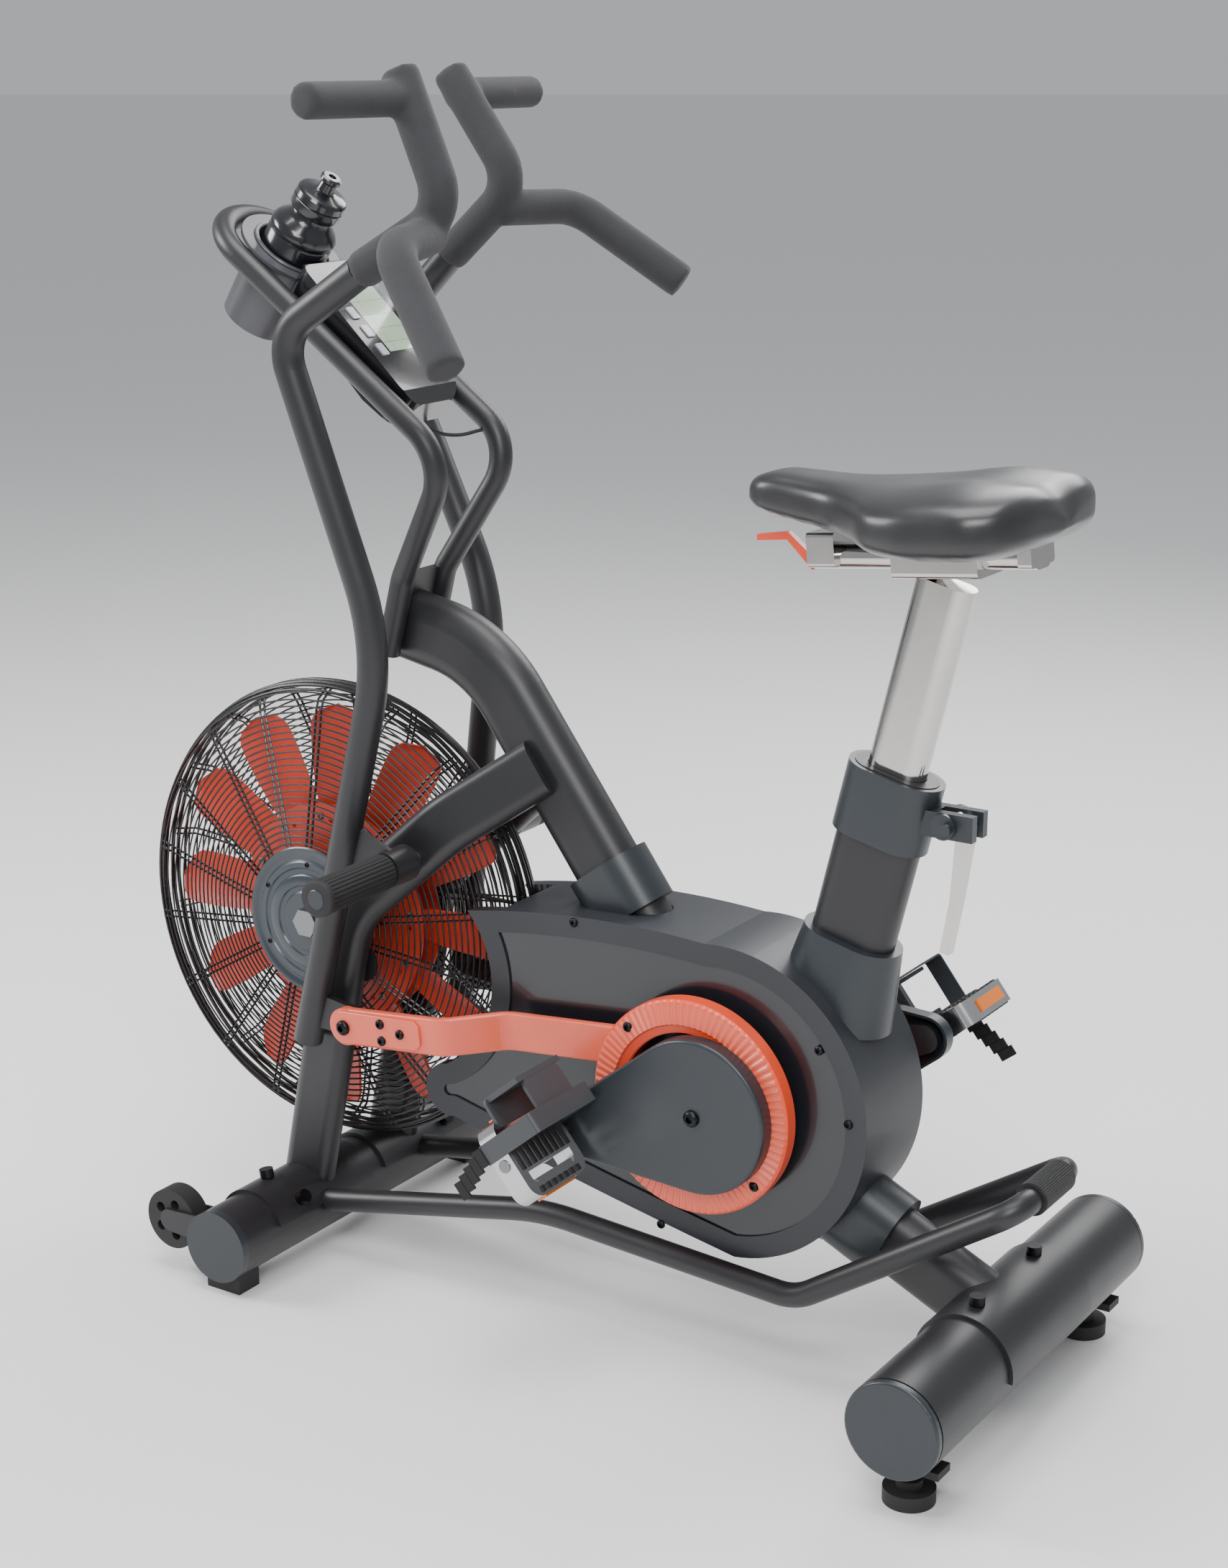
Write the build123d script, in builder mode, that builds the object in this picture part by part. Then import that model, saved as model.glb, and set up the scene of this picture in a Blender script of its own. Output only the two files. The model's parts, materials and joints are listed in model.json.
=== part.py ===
from build123d import *
from math import atan2, cos, radians, sin
import os

# Air bike. Millimetres, +Z up. The front points along -X and the rider's left is -Y.
# The drawing's zero is on the floor under the fan axle. Each piece is written with the
# origin on the floor under the middle of the bike's length, MIDDLE_X behind that.

# Driving dimensions
MIDDLE_X = 314.6
FAN_Z = 386.0
CAGE_R = 265.6
HUB_R = 87.0
CRANK_X = 538.0
CRANK_Z = 290.0
CRANK_LENGTH = 165.0
CRANK_DROP = 18.0
CRANK_ROD_R = 12.0
PEDAL_Y = 172.0
FRONT_TUBE_Z = 56.0
FRONT_TUBE_R = 41.3
FRONT_HALF = 231.0
REAR_TUBE_X = 840.0
REAR_TUBE_Z = 92.0
REAR_TUBE_R = 50.0
REAR_HALF = 239.0
CAP_THICKNESS = 10.0
PLATE = 4.0
HOUSING_HALF = 62.0
WALL = 3.0
PIVOT_X = 166.0
PIVOT_Z = 494.0
SWING = 5.5
ARM_R = 16.5
FOAM_R = 19.0
MAST_R = 12.7
MAST_HALF = 62.0
RAIL_R = 13.0
SEAT_LEAN = 0.2438
SEAT_X = 612.0
SEAT_Z = 288.0
LINK_LENGTH = 416.2
PIN_X = 123.5
PIN_Z = 299.2
RING_R = 116.0
RING_HOLE = 80.0
BELT_IN = 27.0
BELT_OUT = 37.0
DRIVE_R = 132.0
DRIVEN_R = 33.0
PLAY = 0.05

os.makedirs("parts", exist_ok=True)

SEAT_DIR = Vector(SEAT_LEAN, 0, 1).normalized()
MAST_UP = Vector(-0.808, 0, 0.589).normalized()
BEND = Vector(-65, 0, 1121.5)
TRAY = Plane(origin=BEND, x_dir=MAST_UP, z_dir=Vector(0.589, 0, 0.808))
TRAY_SIDE = Plane(origin=BEND, x_dir=MAST_UP, z_dir=(0, 1, 0))
FAN_AXIS = Axis((0, 0, FAN_Z), (0, 1, 0))


def save(builder, name):
    """Label a finished piece and write it in the bike's own frame."""
    placed = builder.part.moved(Location((-MIDDLE_X, 0, 0)))
    placed.label = name
    export_step(placed, f"parts/{name}.step")


def side(y):
    """A plane across the bike at y, drawn in X and Z, facing the left."""
    return Plane((0, y, 0), x_dir=(1, 0, 0), z_dir=(0, -1, 0))


def swing(x, y, z, angle):
    """Turn a point about the arms' pivot axis, top towards the rear."""
    a = radians(angle)
    dx = x - PIVOT_X
    dz = z - PIVOT_Z
    return (PIVOT_X + dx * cos(a) + dz * sin(a), y, PIVOT_Z - dx * sin(a) + dz * cos(a))


def tube(points, radii, width, height=None):
    """A bent tube: round, or flat-oval with its width in the bike's plane."""
    with BuildPart() as bent:
        with BuildLine():
            if radii:
                line = FilletPolyline(*points, radius=radii)
            else:
                line = Polyline(*points)
        with BuildSketch(Plane(origin=line @ 0, x_dir=(0, 1, 0), z_dir=line % 0)):
            if height:
                SlotOverall(width, height, rotation=90)
            else:
                Circle(width)
        sweep(path=line)
    return bent


def rod(x, z, radius, y_low, y_high):
    """A round bar across the bike."""
    with BuildPart() as bar:
        with BuildSketch(side(y_high)):
            with Locations((x, z)):
                Circle(radius)
        extrude(amount=y_high - y_low)
    return bar


def mirrored(source):
    """The right-hand twin of a left-hand piece."""
    with BuildPart() as twin:
        mirror(source.part, about=Plane.XZ)
    return twin


def both(source):
    """A left-hand piece and its right-hand twin as one node."""
    with BuildPart() as pair:
        add(source.part)
        mirror(about=Plane.XZ)
    return pair


# Frame ---------------------------------------------------------------------
shell_core = rod(CRANK_X, CRANK_Z, 34, -24, 24)
front_tube_space = rod(0, FRONT_TUBE_Z, FRONT_TUBE_R + PLATE, -300, 300)
rear_tube_space = rod(REAR_TUBE_X, REAR_TUBE_Z, REAR_TUBE_R + PLATE, -300, 300)

with BuildPart() as bottom_bracket:
    add(shell_core.part)
    with Locations(Location((CRANK_X, 0, CRANK_Z), (90, 0, 0))):
        Cylinder(26, 60, mode=Mode.SUBTRACT)
save(bottom_bracket, "bottom_bracket")

with BuildPart() as crank_bearing:
    with BuildSketch(side(-12)):
        with Locations((CRANK_X, CRANK_Z)):
            Circle(26)
            Circle(CRANK_ROD_R + PLAY, mode=Mode.SUBTRACT)
    extrude(amount=12)
crank_bearings = both(crank_bearing)
save(crank_bearings, "crank_bearings")

arch_path = [(88, 0, 735), (207, 0, 712), (514, 0, 293)]
arch_tube = tube(arch_path, [150], 80, 50)
with BuildPart() as main_arch:
    add(arch_tube.part)
    add(shell_core.part, mode=Mode.SUBTRACT)
save(main_arch, "main_arch")

pivot_stub = rod(PIVOT_X, PIVOT_Z, 10, -240, -70)
leg_tube = tube([(0, -78, 70), (72, -78, 420), (200, -64, 535), (292, -24, 602)], [110, 120], 64, 30)
with BuildPart() as fork_leg:
    add(leg_tube.part)
    add(arch_tube.part, mode=Mode.SUBTRACT)
    add(front_tube_space.part, mode=Mode.SUBTRACT)
    add(pivot_stub.part, mode=Mode.SUBTRACT)
fork_legs = both(fork_leg)
save(fork_legs, "fork_legs")

front_stabiliser = rod(0, FRONT_TUBE_Z, FRONT_TUBE_R, -FRONT_HALF, FRONT_HALF)
save(front_stabiliser, "front_stabiliser")
rear_stabiliser = rod(REAR_TUBE_X, REAR_TUBE_Z, REAR_TUBE_R, -REAR_HALF, REAR_HALF)
save(rear_stabiliser, "rear_stabiliser")

with BuildPart() as end_caps:
    for x, z, radius, half in ((0, FRONT_TUBE_Z, FRONT_TUBE_R, FRONT_HALF), (REAR_TUBE_X, REAR_TUBE_Z, REAR_TUBE_R, REAR_HALF)):
        with BuildSketch(side(-half)):
            with Locations((x, z)):
                Circle(radius)
        extrude(amount=CAP_THICKNESS)
    fillet(end_caps.faces().sort_by(Axis.Y)[0:2].edges(), 3)
stabiliser_caps = both(end_caps)
save(stabiliser_caps, "stabiliser_caps")


def saddle_plate(x, z, radius, y_low, y_high, drop):
    """A plate wrapped over the top of a stabiliser tube."""
    with BuildPart() as plate:
        with BuildSketch(side(y_high)):
            with Locations((x, z)):
                Circle(radius + PLATE)
                Circle(radius, mode=Mode.SUBTRACT)
            with Locations((x, z + drop)):
                Rectangle(4 * radius, 2 * radius, align=(Align.CENTER, Align.MIN), mode=Mode.INTERSECT)
        extrude(amount=y_high - y_low)
    return plate


WHEEL_X = -79.0
WHEEL_Z = 64.0
WHEEL_Y = 212.0
front_plate = saddle_plate(0, FRONT_TUBE_Z, FRONT_TUBE_R, -179, -12, 12)
rear_plate = saddle_plate(REAR_TUBE_X, REAR_TUBE_Z, REAR_TUBE_R, -95, 95, -6)
with BuildPart() as wheel_fork:
    for outer in (-WHEEL_Y + 16, -WHEEL_Y - 13):
        with BuildSketch(side(outer)):
            with Locations((WHEEL_X, WHEEL_Z)):
                Circle(13)
            with Locations((-36, WHEEL_Z)):
                Circle(15)
            make_hull()
            with Locations((0, FRONT_TUBE_Z)):
                Circle(FRONT_TUBE_R, mode=Mode.SUBTRACT)
        extrude(amount=3)
    with Locations(Location((WHEEL_X, -WHEEL_Y, WHEEL_Z), (90, 0, 0))):
        Cylinder(5, 32)
with BuildPart() as saddle_plates:
    add(front_plate.part)
    add(wheel_fork.part)
    mirror(about=Plane.XZ)
    add(rear_plate.part)
save(saddle_plates, "saddle_plates_and_wheel_forks")

with BuildPart() as foot:
    with Locations((0, -213, 0)):
        Box(46, 34, 30, align=(Align.CENTER, Align.CENTER, Align.MIN))
    add(front_stabiliser.part, mode=Mode.SUBTRACT)
    with Locations((REAR_TUBE_X, -205, 0)):
        Cylinder(26, 15, align=(Align.CENTER, Align.CENTER, Align.MIN))
        Cylinder(13, 24, align=(Align.CENTER, Align.CENTER, Align.MIN))
        Cylinder(6, 50, align=(Align.CENTER, Align.CENTER, Align.MIN))
    with Locations((REAR_TUBE_X, -205, 40)):
        Box(72, 26, 8)
    add(rear_stabiliser.part, mode=Mode.SUBTRACT)
floor_pads = both(foot)
save(floor_pads, "floor_pads_and_feet")

rear_tube = tube([(548, 0, 236.5), (840, 0, 99)], None, 76, 50)
with BuildPart() as rear_frame_tube:
    add(rear_tube.part)
    add(rear_tube_space.part, mode=Mode.SUBTRACT)
    add(shell_core.part, mode=Mode.SUBTRACT)
save(rear_frame_tube, "rear_frame_tube")


def seat_plane(height):
    """A plane across the seat tube's axis, at a height above the floor."""
    x = SEAT_X + (height - SEAT_Z) * SEAT_LEAN
    return Plane(origin=(x, 0, height), x_dir=(0, 1, 0), z_dir=SEAT_DIR)


def seat_slot(low, length, width, height):
    """A flat-oval bar along the seat tube's axis."""
    with BuildPart() as bar:
        with BuildSketch(seat_plane(low)):
            SlotOverall(width, height, rotation=90)
        extrude(amount=length)
    return bar


with BuildPart() as seat_blank:
    with BuildSketch(seat_plane(240)):
        SlotOverall(90, 50, rotation=90)
        SlotOverall(63, 35, rotation=90, mode=Mode.SUBTRACT)
    extrude(amount=428)
    add(rear_tube.part, mode=Mode.SUBTRACT)
    add(shell_core.part, mode=Mode.SUBTRACT)
with BuildPart() as seat_tube:
    add(seat_blank.solids().sort_by(SortBy.VOLUME)[-1])
save(seat_tube, "seat_tube")

QR_X = 768.0
QR_Z = 612.0
QR_PIN_R = 6.0
with BuildPart() as seat_collar:
    with BuildSketch(seat_plane(585)):
        SlotOverall(102, 62, rotation=90)
        SlotOverall(90, 50, rotation=90, mode=Mode.SUBTRACT)
    extrude(amount=72)
    with Locations(Location((QR_X - 6, 0, QR_Z), (90, 0, 0))):
        Cylinder(13, 44)
        Box(60, 26, 34)
    with BuildSketch(seat_plane(575)):
        SlotOverall(90, 50, rotation=90)
    extrude(amount=120, mode=Mode.SUBTRACT)
    with Locations(Location((QR_X, 0, QR_Z), (90, 0, 0))):
        Cylinder(21, 14, mode=Mode.SUBTRACT)
    with Locations(Location((QR_X + 9, 0, QR_Z), (90, 0, 0))):
        Cylinder(28, 14, mode=Mode.SUBTRACT)
    with Locations(Location((QR_X, 0, QR_Z), (90, 0, 0))):
        Cylinder(QR_PIN_R, 60)
save(seat_collar, "seat_collar")

# Carry rail: one tube in a loop round the lower frame, with a knurled grip
rail_side = [(35, -92, 66), (330, -82, 124), (642, -78, 103), (878, -66, 255)]
rail_path = rail_side + [(x, -y, z) for x, y, z in reversed(rail_side)]
rail_tube = tube(rail_path, [300, 60, 28, 28, 60, 300], RAIL_R)
with BuildPart() as carry_rail:
    add(rail_tube.part)
    add(front_tube_space.part, mode=Mode.SUBTRACT)
save(carry_rail, "carry_rail")
with BuildPart() as carry_grip:
    with BuildSketch(side(34)):
        with Locations((878, 255)):
            Circle(17)
            Circle(RAIL_R, mode=Mode.SUBTRACT)
    extrude(amount=68)
save(carry_grip, "carry_grip")

# Housing -------------------------------------------------------------------
with BuildPart() as belt_space:
    with BuildSketch(side(BELT_OUT + 3)):
        with Locations((CRANK_X, CRANK_Z)):
            Circle(DRIVE_R + 7)
        with Locations((0, FAN_Z)):
            Circle(DRIVEN_R + 7)
        make_hull()
    extrude(amount=BELT_OUT - BELT_IN + 6)


def casing(y, depth, inset):
    """The casing's side outline, drawn in by an inset, as a block going left from y."""
    with BuildPart() as block:
        with BuildSketch(side(y)):
            with BuildLine():
                ThreePointArc((222, 440), (400, 461), (520, 459))
                ThreePointArc((520, 459), (706, 330), (560, 121))
                ThreePointArc((560, 121), (380, 156), (200, 196))
                ThreePointArc((200, 196), (162, 228), (190, 256))
                ThreePointArc((190, 256), (252, 345), (222, 440))
            make_face()
            if inset:
                offset(amount=-inset, mode=Mode.REPLACE)
        extrude(amount=depth)
    return block


fan_space = rod(0, FAN_Z, CAGE_R + 5, -46, 46)
hollow = casing(0, HOUSING_HALF - 2.5 - WALL, WALL)
with BuildPart() as inside:
    add(hollow.part)
    add(rod(0, FAN_Z, CAGE_R + 9, -80, 80).part, mode=Mode.SUBTRACT)
casing_shell = casing(0, HOUSING_HALF, 0).part - casing(2.5 - HOUSING_HALF, 10, 24).part
for space in (inside, fan_space, rod(CRANK_X, CRANK_Z, 44, -80, 80), rail_tube,
              tube([(207, 0, 712), (514, 0, 293)], None, 82, 52), seat_slot(230, 300, 92, 52),
              tube([(548, 0, 236.5), (840, 0, 99)], None, 78, 52)):
    casing_shell = casing_shell - space.part
with BuildPart() as housing_left:
    add(casing_shell)
save(housing_left, "housing_left")
with BuildPart() as housing_right:
    mirror(housing_left.part, about=Plane.XZ)
    add(belt_space.part, mode=Mode.SUBTRACT, clean=False)
save(housing_right, "housing_right")

casing_block = casing(HOUSING_HALF, 2 * HOUSING_HALF, 0)
with BuildPart() as housing_boots:
    boot_line = Line((352, 0, 514), (407, 0, 439))
    with BuildSketch(Plane(origin=(362, 0, 500.5), x_dir=(0, 1, 0), z_dir=boot_line % 0)):
        SlotOverall(98, 68, rotation=90)
    extrude(amount=60)
    add(arch_tube.part, mode=Mode.SUBTRACT)
    with BuildSketch(seat_plane(392)):
        SlotOverall(128, 92, rotation=90)
    extrude(amount=88, taper=7)
    add(seat_slot(222, 446, 90, 50).part, mode=Mode.SUBTRACT)
    with BuildSketch(Plane(origin=(655, 0, 186), x_dir=(0, 1, 0), z_dir=(0.905, 0, -0.426))):
        SlotOverall(98, 70, rotation=90)
    extrude(amount=66)
    add(rear_tube.part, mode=Mode.SUBTRACT)
    add(casing_block.part, mode=Mode.SUBTRACT)
save(housing_boots, "housing_boots")

# Fan and cage --------------------------------------------------------------
CAGE_SKIN = 2.6
CAGE_RINGS = (93, 118, 143, 168, 193, 218, 243)
RIBS = 12
with BuildPart() as cage_left:
    with BuildSketch(Plane.XY.offset(FAN_Z)):
        with BuildLine():
            Polyline((HUB_R, -60), (238, -35))
            ThreePointArc((238, -35), (258, -24), (CAGE_R, 0))
            Polyline((CAGE_R, 0), (CAGE_R - CAGE_SKIN, 0))
            ThreePointArc((CAGE_R - CAGE_SKIN, 0), (256, -22), (238, -35 + CAGE_SKIN))
            Polyline((238, -35 + CAGE_SKIN), (HUB_R, -60 + CAGE_SKIN), (HUB_R, -60))
        make_face()
    revolve(axis=FAN_AXIS)
    with BuildSketch(side(0)):
        with Locations((0, FAN_Z)):
            Circle(300)
            Circle(254, mode=Mode.SUBTRACT)
            for ring in reversed(CAGE_RINGS):
                Circle(ring)
                Circle(ring - 5, mode=Mode.SUBTRACT)
            for index in range(RIBS):
                with PolarLocations(174, 1, start_angle=(index + 0.5) * 360 / RIBS):
                    Rectangle(180, 4.5)
    extrude(amount=80, mode=Mode.INTERSECT)
save(cage_left, "cage_left")
with BuildPart() as cage_right:
    mirror(cage_left.part, about=Plane.XZ)
    add(belt_space.part, mode=Mode.SUBTRACT)
save(cage_right, "cage_right")

with BuildPart() as hub_cover:
    with BuildSketch(Plane.XY.offset(FAN_Z)):
        with BuildLine():
            Polyline((10, -56), (HUB_R - 1, -56), (HUB_R - 1, -60), (70, -60), (70, -61.5), (52, -61.5),
                     (52, -60), (10, -60), (10, -56))
        make_face()
    revolve(axis=FAN_AXIS)
hub_covers = both(hub_cover)
save(hub_covers, "hub_covers")

with BuildPart() as axle_bracket:
    with BuildSketch(side(-60)):
        with Locations((0, FAN_Z)):
            Circle(30)
        with Locations((74, 352)):
            Circle(22)
        make_hull()
        with Locations((0, FAN_Z)):
            Circle(10, mode=Mode.SUBTRACT)
        with Locations((28, 373)):
            SlotOverall(18, 9, rotation=-25, mode=Mode.SUBTRACT)
    extrude(amount=3)
    add(hub_cover.part, mode=Mode.SUBTRACT)
    add(leg_tube.part, mode=Mode.SUBTRACT)
axle_brackets = both(axle_bracket)
save(axle_brackets, "axle_brackets")

with BuildPart() as fan_axle:
    add(rod(0, FAN_Z, 10, -66, 66).part)
    for y in (-63, 70):
        with BuildSketch(side(y)):
            with Locations((0, FAN_Z)):
                RegularPolygon(17, 6)
        extrude(amount=7)
save(fan_axle, "fan_axle")

with BuildPart() as fan_hub:
    with BuildSketch(Plane.XY.offset(FAN_Z)):
        with BuildLine():
            Polyline((10 + PLAY, -52), (16, -52), (16, -20), (42, -20), (42, 20), (20, 20), (20, BELT_IN),
                     (DRIVEN_R + 4, BELT_IN), (DRIVEN_R - 0.5, BELT_IN + 1.5), (DRIVEN_R - 0.5, BELT_OUT - 1.5),
                     (DRIVEN_R + 4, BELT_OUT), (16, BELT_OUT), (16, 52), (10 + PLAY, 52), (10 + PLAY, -52))
        make_face()
    revolve(axis=FAN_AXIS)
save(fan_hub, "fan_hub")

with BuildPart() as fan_disc:
    with BuildSketch(side(-15)):
        with Locations((0, FAN_Z)):
            Circle(127)
            Circle(42, mode=Mode.SUBTRACT)
            with PolarLocations(60, 6):
                Circle(9, mode=Mode.SUBTRACT)
            with PolarLocations(108, 12):
                Circle(3, mode=Mode.SUBTRACT)
    extrude(amount=2.5)
fan_discs = both(fan_disc)
save(fan_discs, "fan_discs")

BLADES = 12
BLADE_PITCH = 24.0
with BuildPart() as fan_blades:
    for index in range(BLADES):
        a = radians(index * 360 / BLADES)
        p = radians(BLADE_PITCH)
        normal = Vector(-sin(a) * sin(p), cos(p), cos(a) * sin(p))
        with BuildSketch(Plane(origin=(0, 0, FAN_Z), x_dir=(cos(a), 0, sin(a)), z_dir=normal)):
            with Locations((178, 0)):
                RectangleRounded(124, 56, 24)
        extrude(amount=1.3, both=True)
save(fan_blades, "fan_blades")

with BuildPart() as drive_belt:
    with BuildSketch(side(BELT_OUT - 2)):
        for extra, mode in ((2.5, Mode.ADD), (0, Mode.SUBTRACT)):
            with BuildSketch(mode=mode):
                with Locations((CRANK_X, CRANK_Z)):
                    Circle(DRIVE_R + extra)
                with Locations((0, FAN_Z)):
                    Circle(DRIVEN_R + extra)
                make_hull()
    extrude(amount=BELT_OUT - BELT_IN - 4)
save(drive_belt, "drive_belt")

# Crank ---------------------------------------------------------------------
drop = radians(CRANK_DROP)
PEDAL_DX = -CRANK_LENGTH * cos(drop)
PEDAL_DZ = -CRANK_LENGTH * sin(drop)
pedal_spots = {-1: (CRANK_X + PEDAL_DX, CRANK_Z + PEDAL_DZ), 1: (CRANK_X - PEDAL_DX, CRANK_Z - PEDAL_DZ)}

with BuildPart() as drive_pulley:
    with BuildSketch(side(BELT_OUT)):
        with Locations((CRANK_X, CRANK_Z)):
            Circle(DRIVE_R - 0.5)
            Circle(CRANK_ROD_R, mode=Mode.SUBTRACT)
            with PolarLocations(80, 6):
                Circle(24, mode=Mode.SUBTRACT)
    extrude(amount=BELT_OUT - BELT_IN)
save(drive_pulley, "drive_pulley")

with BuildPart() as crank_axle:
    add(rod(CRANK_X, CRANK_Z, CRANK_ROD_R, -106, 106).part)
    for sign, (x, z) in pedal_spots.items():
        add(rod(x, z, 7, min(sign * 93, sign * 222), max(sign * 93, sign * 222)).part)
save(crank_axle, "crank_axle_and_spindles")


def crank_blade(sign, big, small, y_in, y_out):
    """A teardrop from the crank centre to the pedal, between two distances from the bike's centre."""
    x, z = pedal_spots[sign]
    with BuildPart() as blade:
        with BuildSketch(side(-y_in if sign < 0 else y_out)):
            with Locations((CRANK_X, CRANK_Z)):
                Circle(big)
            with Locations((x, z)):
                Circle(small)
            make_hull()
        extrude(amount=y_out - y_in)
    return blade


with BuildPart() as crank_arms:
    for sign in (-1, 1):
        add(crank_blade(sign, 38, 15, 93, 105).part)
        add(rod(CRANK_X, CRANK_Z, 38, min(sign * 66, sign * 93), max(sign * 66, sign * 93)).part)
    add(crank_axle.part, mode=Mode.SUBTRACT)
save(crank_arms, "crank_arms")

with BuildPart() as crank_covers:
    for sign in (-1, 1):
        outer = crank_blade(sign, 83, 25, 96, 114)
        add(outer.part)
    fillet(crank_covers.faces().sort_by(Axis.Y)[0].edges(), 4)
    fillet(crank_covers.faces().sort_by(Axis.Y)[-1].edges(), 4)
    for sign in (-1, 1):
        add(crank_blade(sign, 80, 22, 95, 111).part, mode=Mode.SUBTRACT)
    add(crank_axle.part, mode=Mode.SUBTRACT)
save(crank_covers, "crank_covers")

# Pedals --------------------------------------------------------------------
TOE_TILT = {-1: 50.0, 1: -38.0}


def pedal_parts(sign):
    """A pedal body with its grip pads, and a toe cage with its strap, about the spindle."""
    x, z = pedal_spots[sign]
    a = radians(TOE_TILT[sign])
    plane = Plane(origin=(x, sign * PEDAL_Y, z), x_dir=(-cos(a), 0, sin(a)), z_dir=(sin(a), 0, cos(a)))
    with BuildPart() as body:
        with BuildSketch(plane.offset(-13)):
            RectangleRounded(92, 98, 16)
            RectangleRounded(66, 74, 10, mode=Mode.SUBTRACT)
            Rectangle(34, 96)
            with Locations((-31, 0), (31, 0)):
                Rectangle(8, 60)
        extrude(amount=26)
        add(rod(x, z, 7 + PLAY, -300, 300).part, mode=Mode.SUBTRACT)
    with BuildPart() as cage:
        with BuildSketch(plane.offset(13.2)):
            with Locations((52, 0)):
                RectangleRounded(34, 84, 8)
        extrude(amount=4)
        with BuildSketch(plane.offset(13.2)):
            with Locations((66, 0)):
                Rectangle(6, 76)
        extrude(amount=52)
        with BuildSketch(plane.offset(61)):
            with Locations((42, 0)):
                RectangleRounded(50, 62, 14)
        extrude(amount=4)
        with BuildSketch(Plane(origin=plane.from_local_coords((9, 0, 0)), x_dir=(0, 1, 0), z_dir=plane.x_dir)):
            with Locations((0, -26)):
                RectangleRounded(106, 84, 5)
                RectangleRounded(102, 80, 3, mode=Mode.SUBTRACT)
        extrude(amount=22)
    return body, cage


pedal_left, toe_cage_left = pedal_parts(-1)
save(pedal_left, "pedal_left")
save(toe_cage_left, "toe_cage_left")
pedal_right, toe_cage_right = pedal_parts(1)
save(pedal_right, "pedal_right")
save(toe_cage_right, "toe_cage_right")

# Swing arms ----------------------------------------------------------------
pivot_stubs = both(pivot_stub)
save(pivot_stubs, "pivot_stubs")
with BuildPart() as peg:
    with BuildSketch(side(-135)):
        with Locations((PIVOT_X, PIVOT_Z)):
            Circle(19.5)
            Circle(10, mode=Mode.SUBTRACT)
    extrude(amount=105)
    with BuildSketch(side(-240)):
        with Locations((PIVOT_X, PIVOT_Z)):
            Circle(20)
    extrude(amount=8)
pivot_pegs = both(peg)
save(pivot_pegs, "pivot_pegs")


def arm_points(points, sign, angle):
    """Points of an arm drawn for the left side at mid swing, carried to one side and turned."""
    return [swing(x, -sign * y, z, angle) for x, y, z in points]


ARM_LINE = [(58, -112, 258), (145, -133, 734), (14, -158, 1043), (112, -156, 1121)]
GRIP_LINE = [(112, -156, 1121), (212, -152, 1192), (140, -148, 1317)]
CROSS_LINE = [(151, -140, 1292), (144, -296, 1292)]
BRANCH_LINE = [(192, -150, 1168), (221, -250, 1163), (325, -295, 1071)]


def arm(sign, angle):
    """One swing arm: tube, pivot sleeve, gusset, lower bracket and link pin."""
    bent = tube(arm_points(ARM_LINE, sign, angle), [250, 50], ARM_R)
    with BuildPart() as whole:
        add(bent.part)
        add(rod(PIVOT_X, PIVOT_Z, 20, *sorted((sign * 96, sign * 134))).part)
        with BuildSketch(side(-118 if sign < 0 else 124)):
            with BuildLine():
                corners = [(170, 512), (96, 535), (90, 470), (166, 476)]
                turned = [swing(x, 0, z, angle) for x, z in corners]
                Polyline(*[(x, z) for x, y, z in turned], close=True)
            make_face()
        extrude(amount=6)
        pin = swing(PIN_X, 0, PIN_Z, angle)
        bar = swing(68, 0, 299, angle)
        with BuildSketch(side(-110 if sign < 0 else 118)):
            with Locations((pin[0], pin[2])):
                Circle(17)
            with Locations((bar[0], bar[2])):
                Circle(20)
            make_hull()
        extrude(amount=8)
        add(rod(pin[0], pin[2], 7, *sorted((sign * 112, sign * 136))).part)
        add(rod(PIVOT_X, PIVOT_Z, 10 + PLAY, -300, 300).part, mode=Mode.SUBTRACT)
    return whole


def grip(bar, sign, angle):
    """The foam over an arm's handle: the upright, the outward bar and the lower branch."""
    with BuildPart() as foam:
        add(tube(arm_points(GRIP_LINE, sign, angle), [40], FOAM_R).part)
        add(tube(arm_points(CROSS_LINE, sign, angle), None, 17).part)
        add(tube(arm_points(BRANCH_LINE, sign, angle), [45], FOAM_R).part)
        add(bar.part, mode=Mode.SUBTRACT)
    return foam


def link(sign, angle):
    """A pressed link rod from the arm's pin back to its open ring about the crank."""
    pin = swing(PIN_X, 0, PIN_Z, angle)
    fall = atan2(CRANK_Z - pin[2], LINK_LENGTH)
    course = [(0, 127, 0), (130, 127, 18), (185, 84, 26), (345, 84, 47)]
    path = []
    for along, out, up in course:
        path.append((pin[0] + along * cos(fall) - up * sin(fall), sign * out, pin[2] + along * sin(fall) + up * cos(fall)))
    ring_x = pin[0] + LINK_LENGTH * cos(fall)
    ring_z = pin[2] + LINK_LENGTH * sin(fall)
    with BuildPart() as bar:
        with BuildLine():
            line = FilletPolyline(*path, radius=[30, 30])
        with BuildSketch(Plane(origin=line @ 0, x_dir=(0, 1, 0), z_dir=line % 0)):
            RectangleRounded(10, 42, 3)
        sweep(path=line)
        add(rod(pin[0], pin[2], 21, *sorted((sign * 122, sign * 132))).part)
        with BuildSketch(side(-75 if sign < 0 else 90)):
            with Locations((ring_x, ring_z)):
                Circle(RING_R)
        extrude(amount=15)
        add(rod(ring_x, ring_z, RING_HOLE, -300, 300).part, mode=Mode.SUBTRACT)
        add(rod(pin[0], pin[2], 7 + PLAY, -300, 300).part, mode=Mode.SUBTRACT)
    return bar


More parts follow.
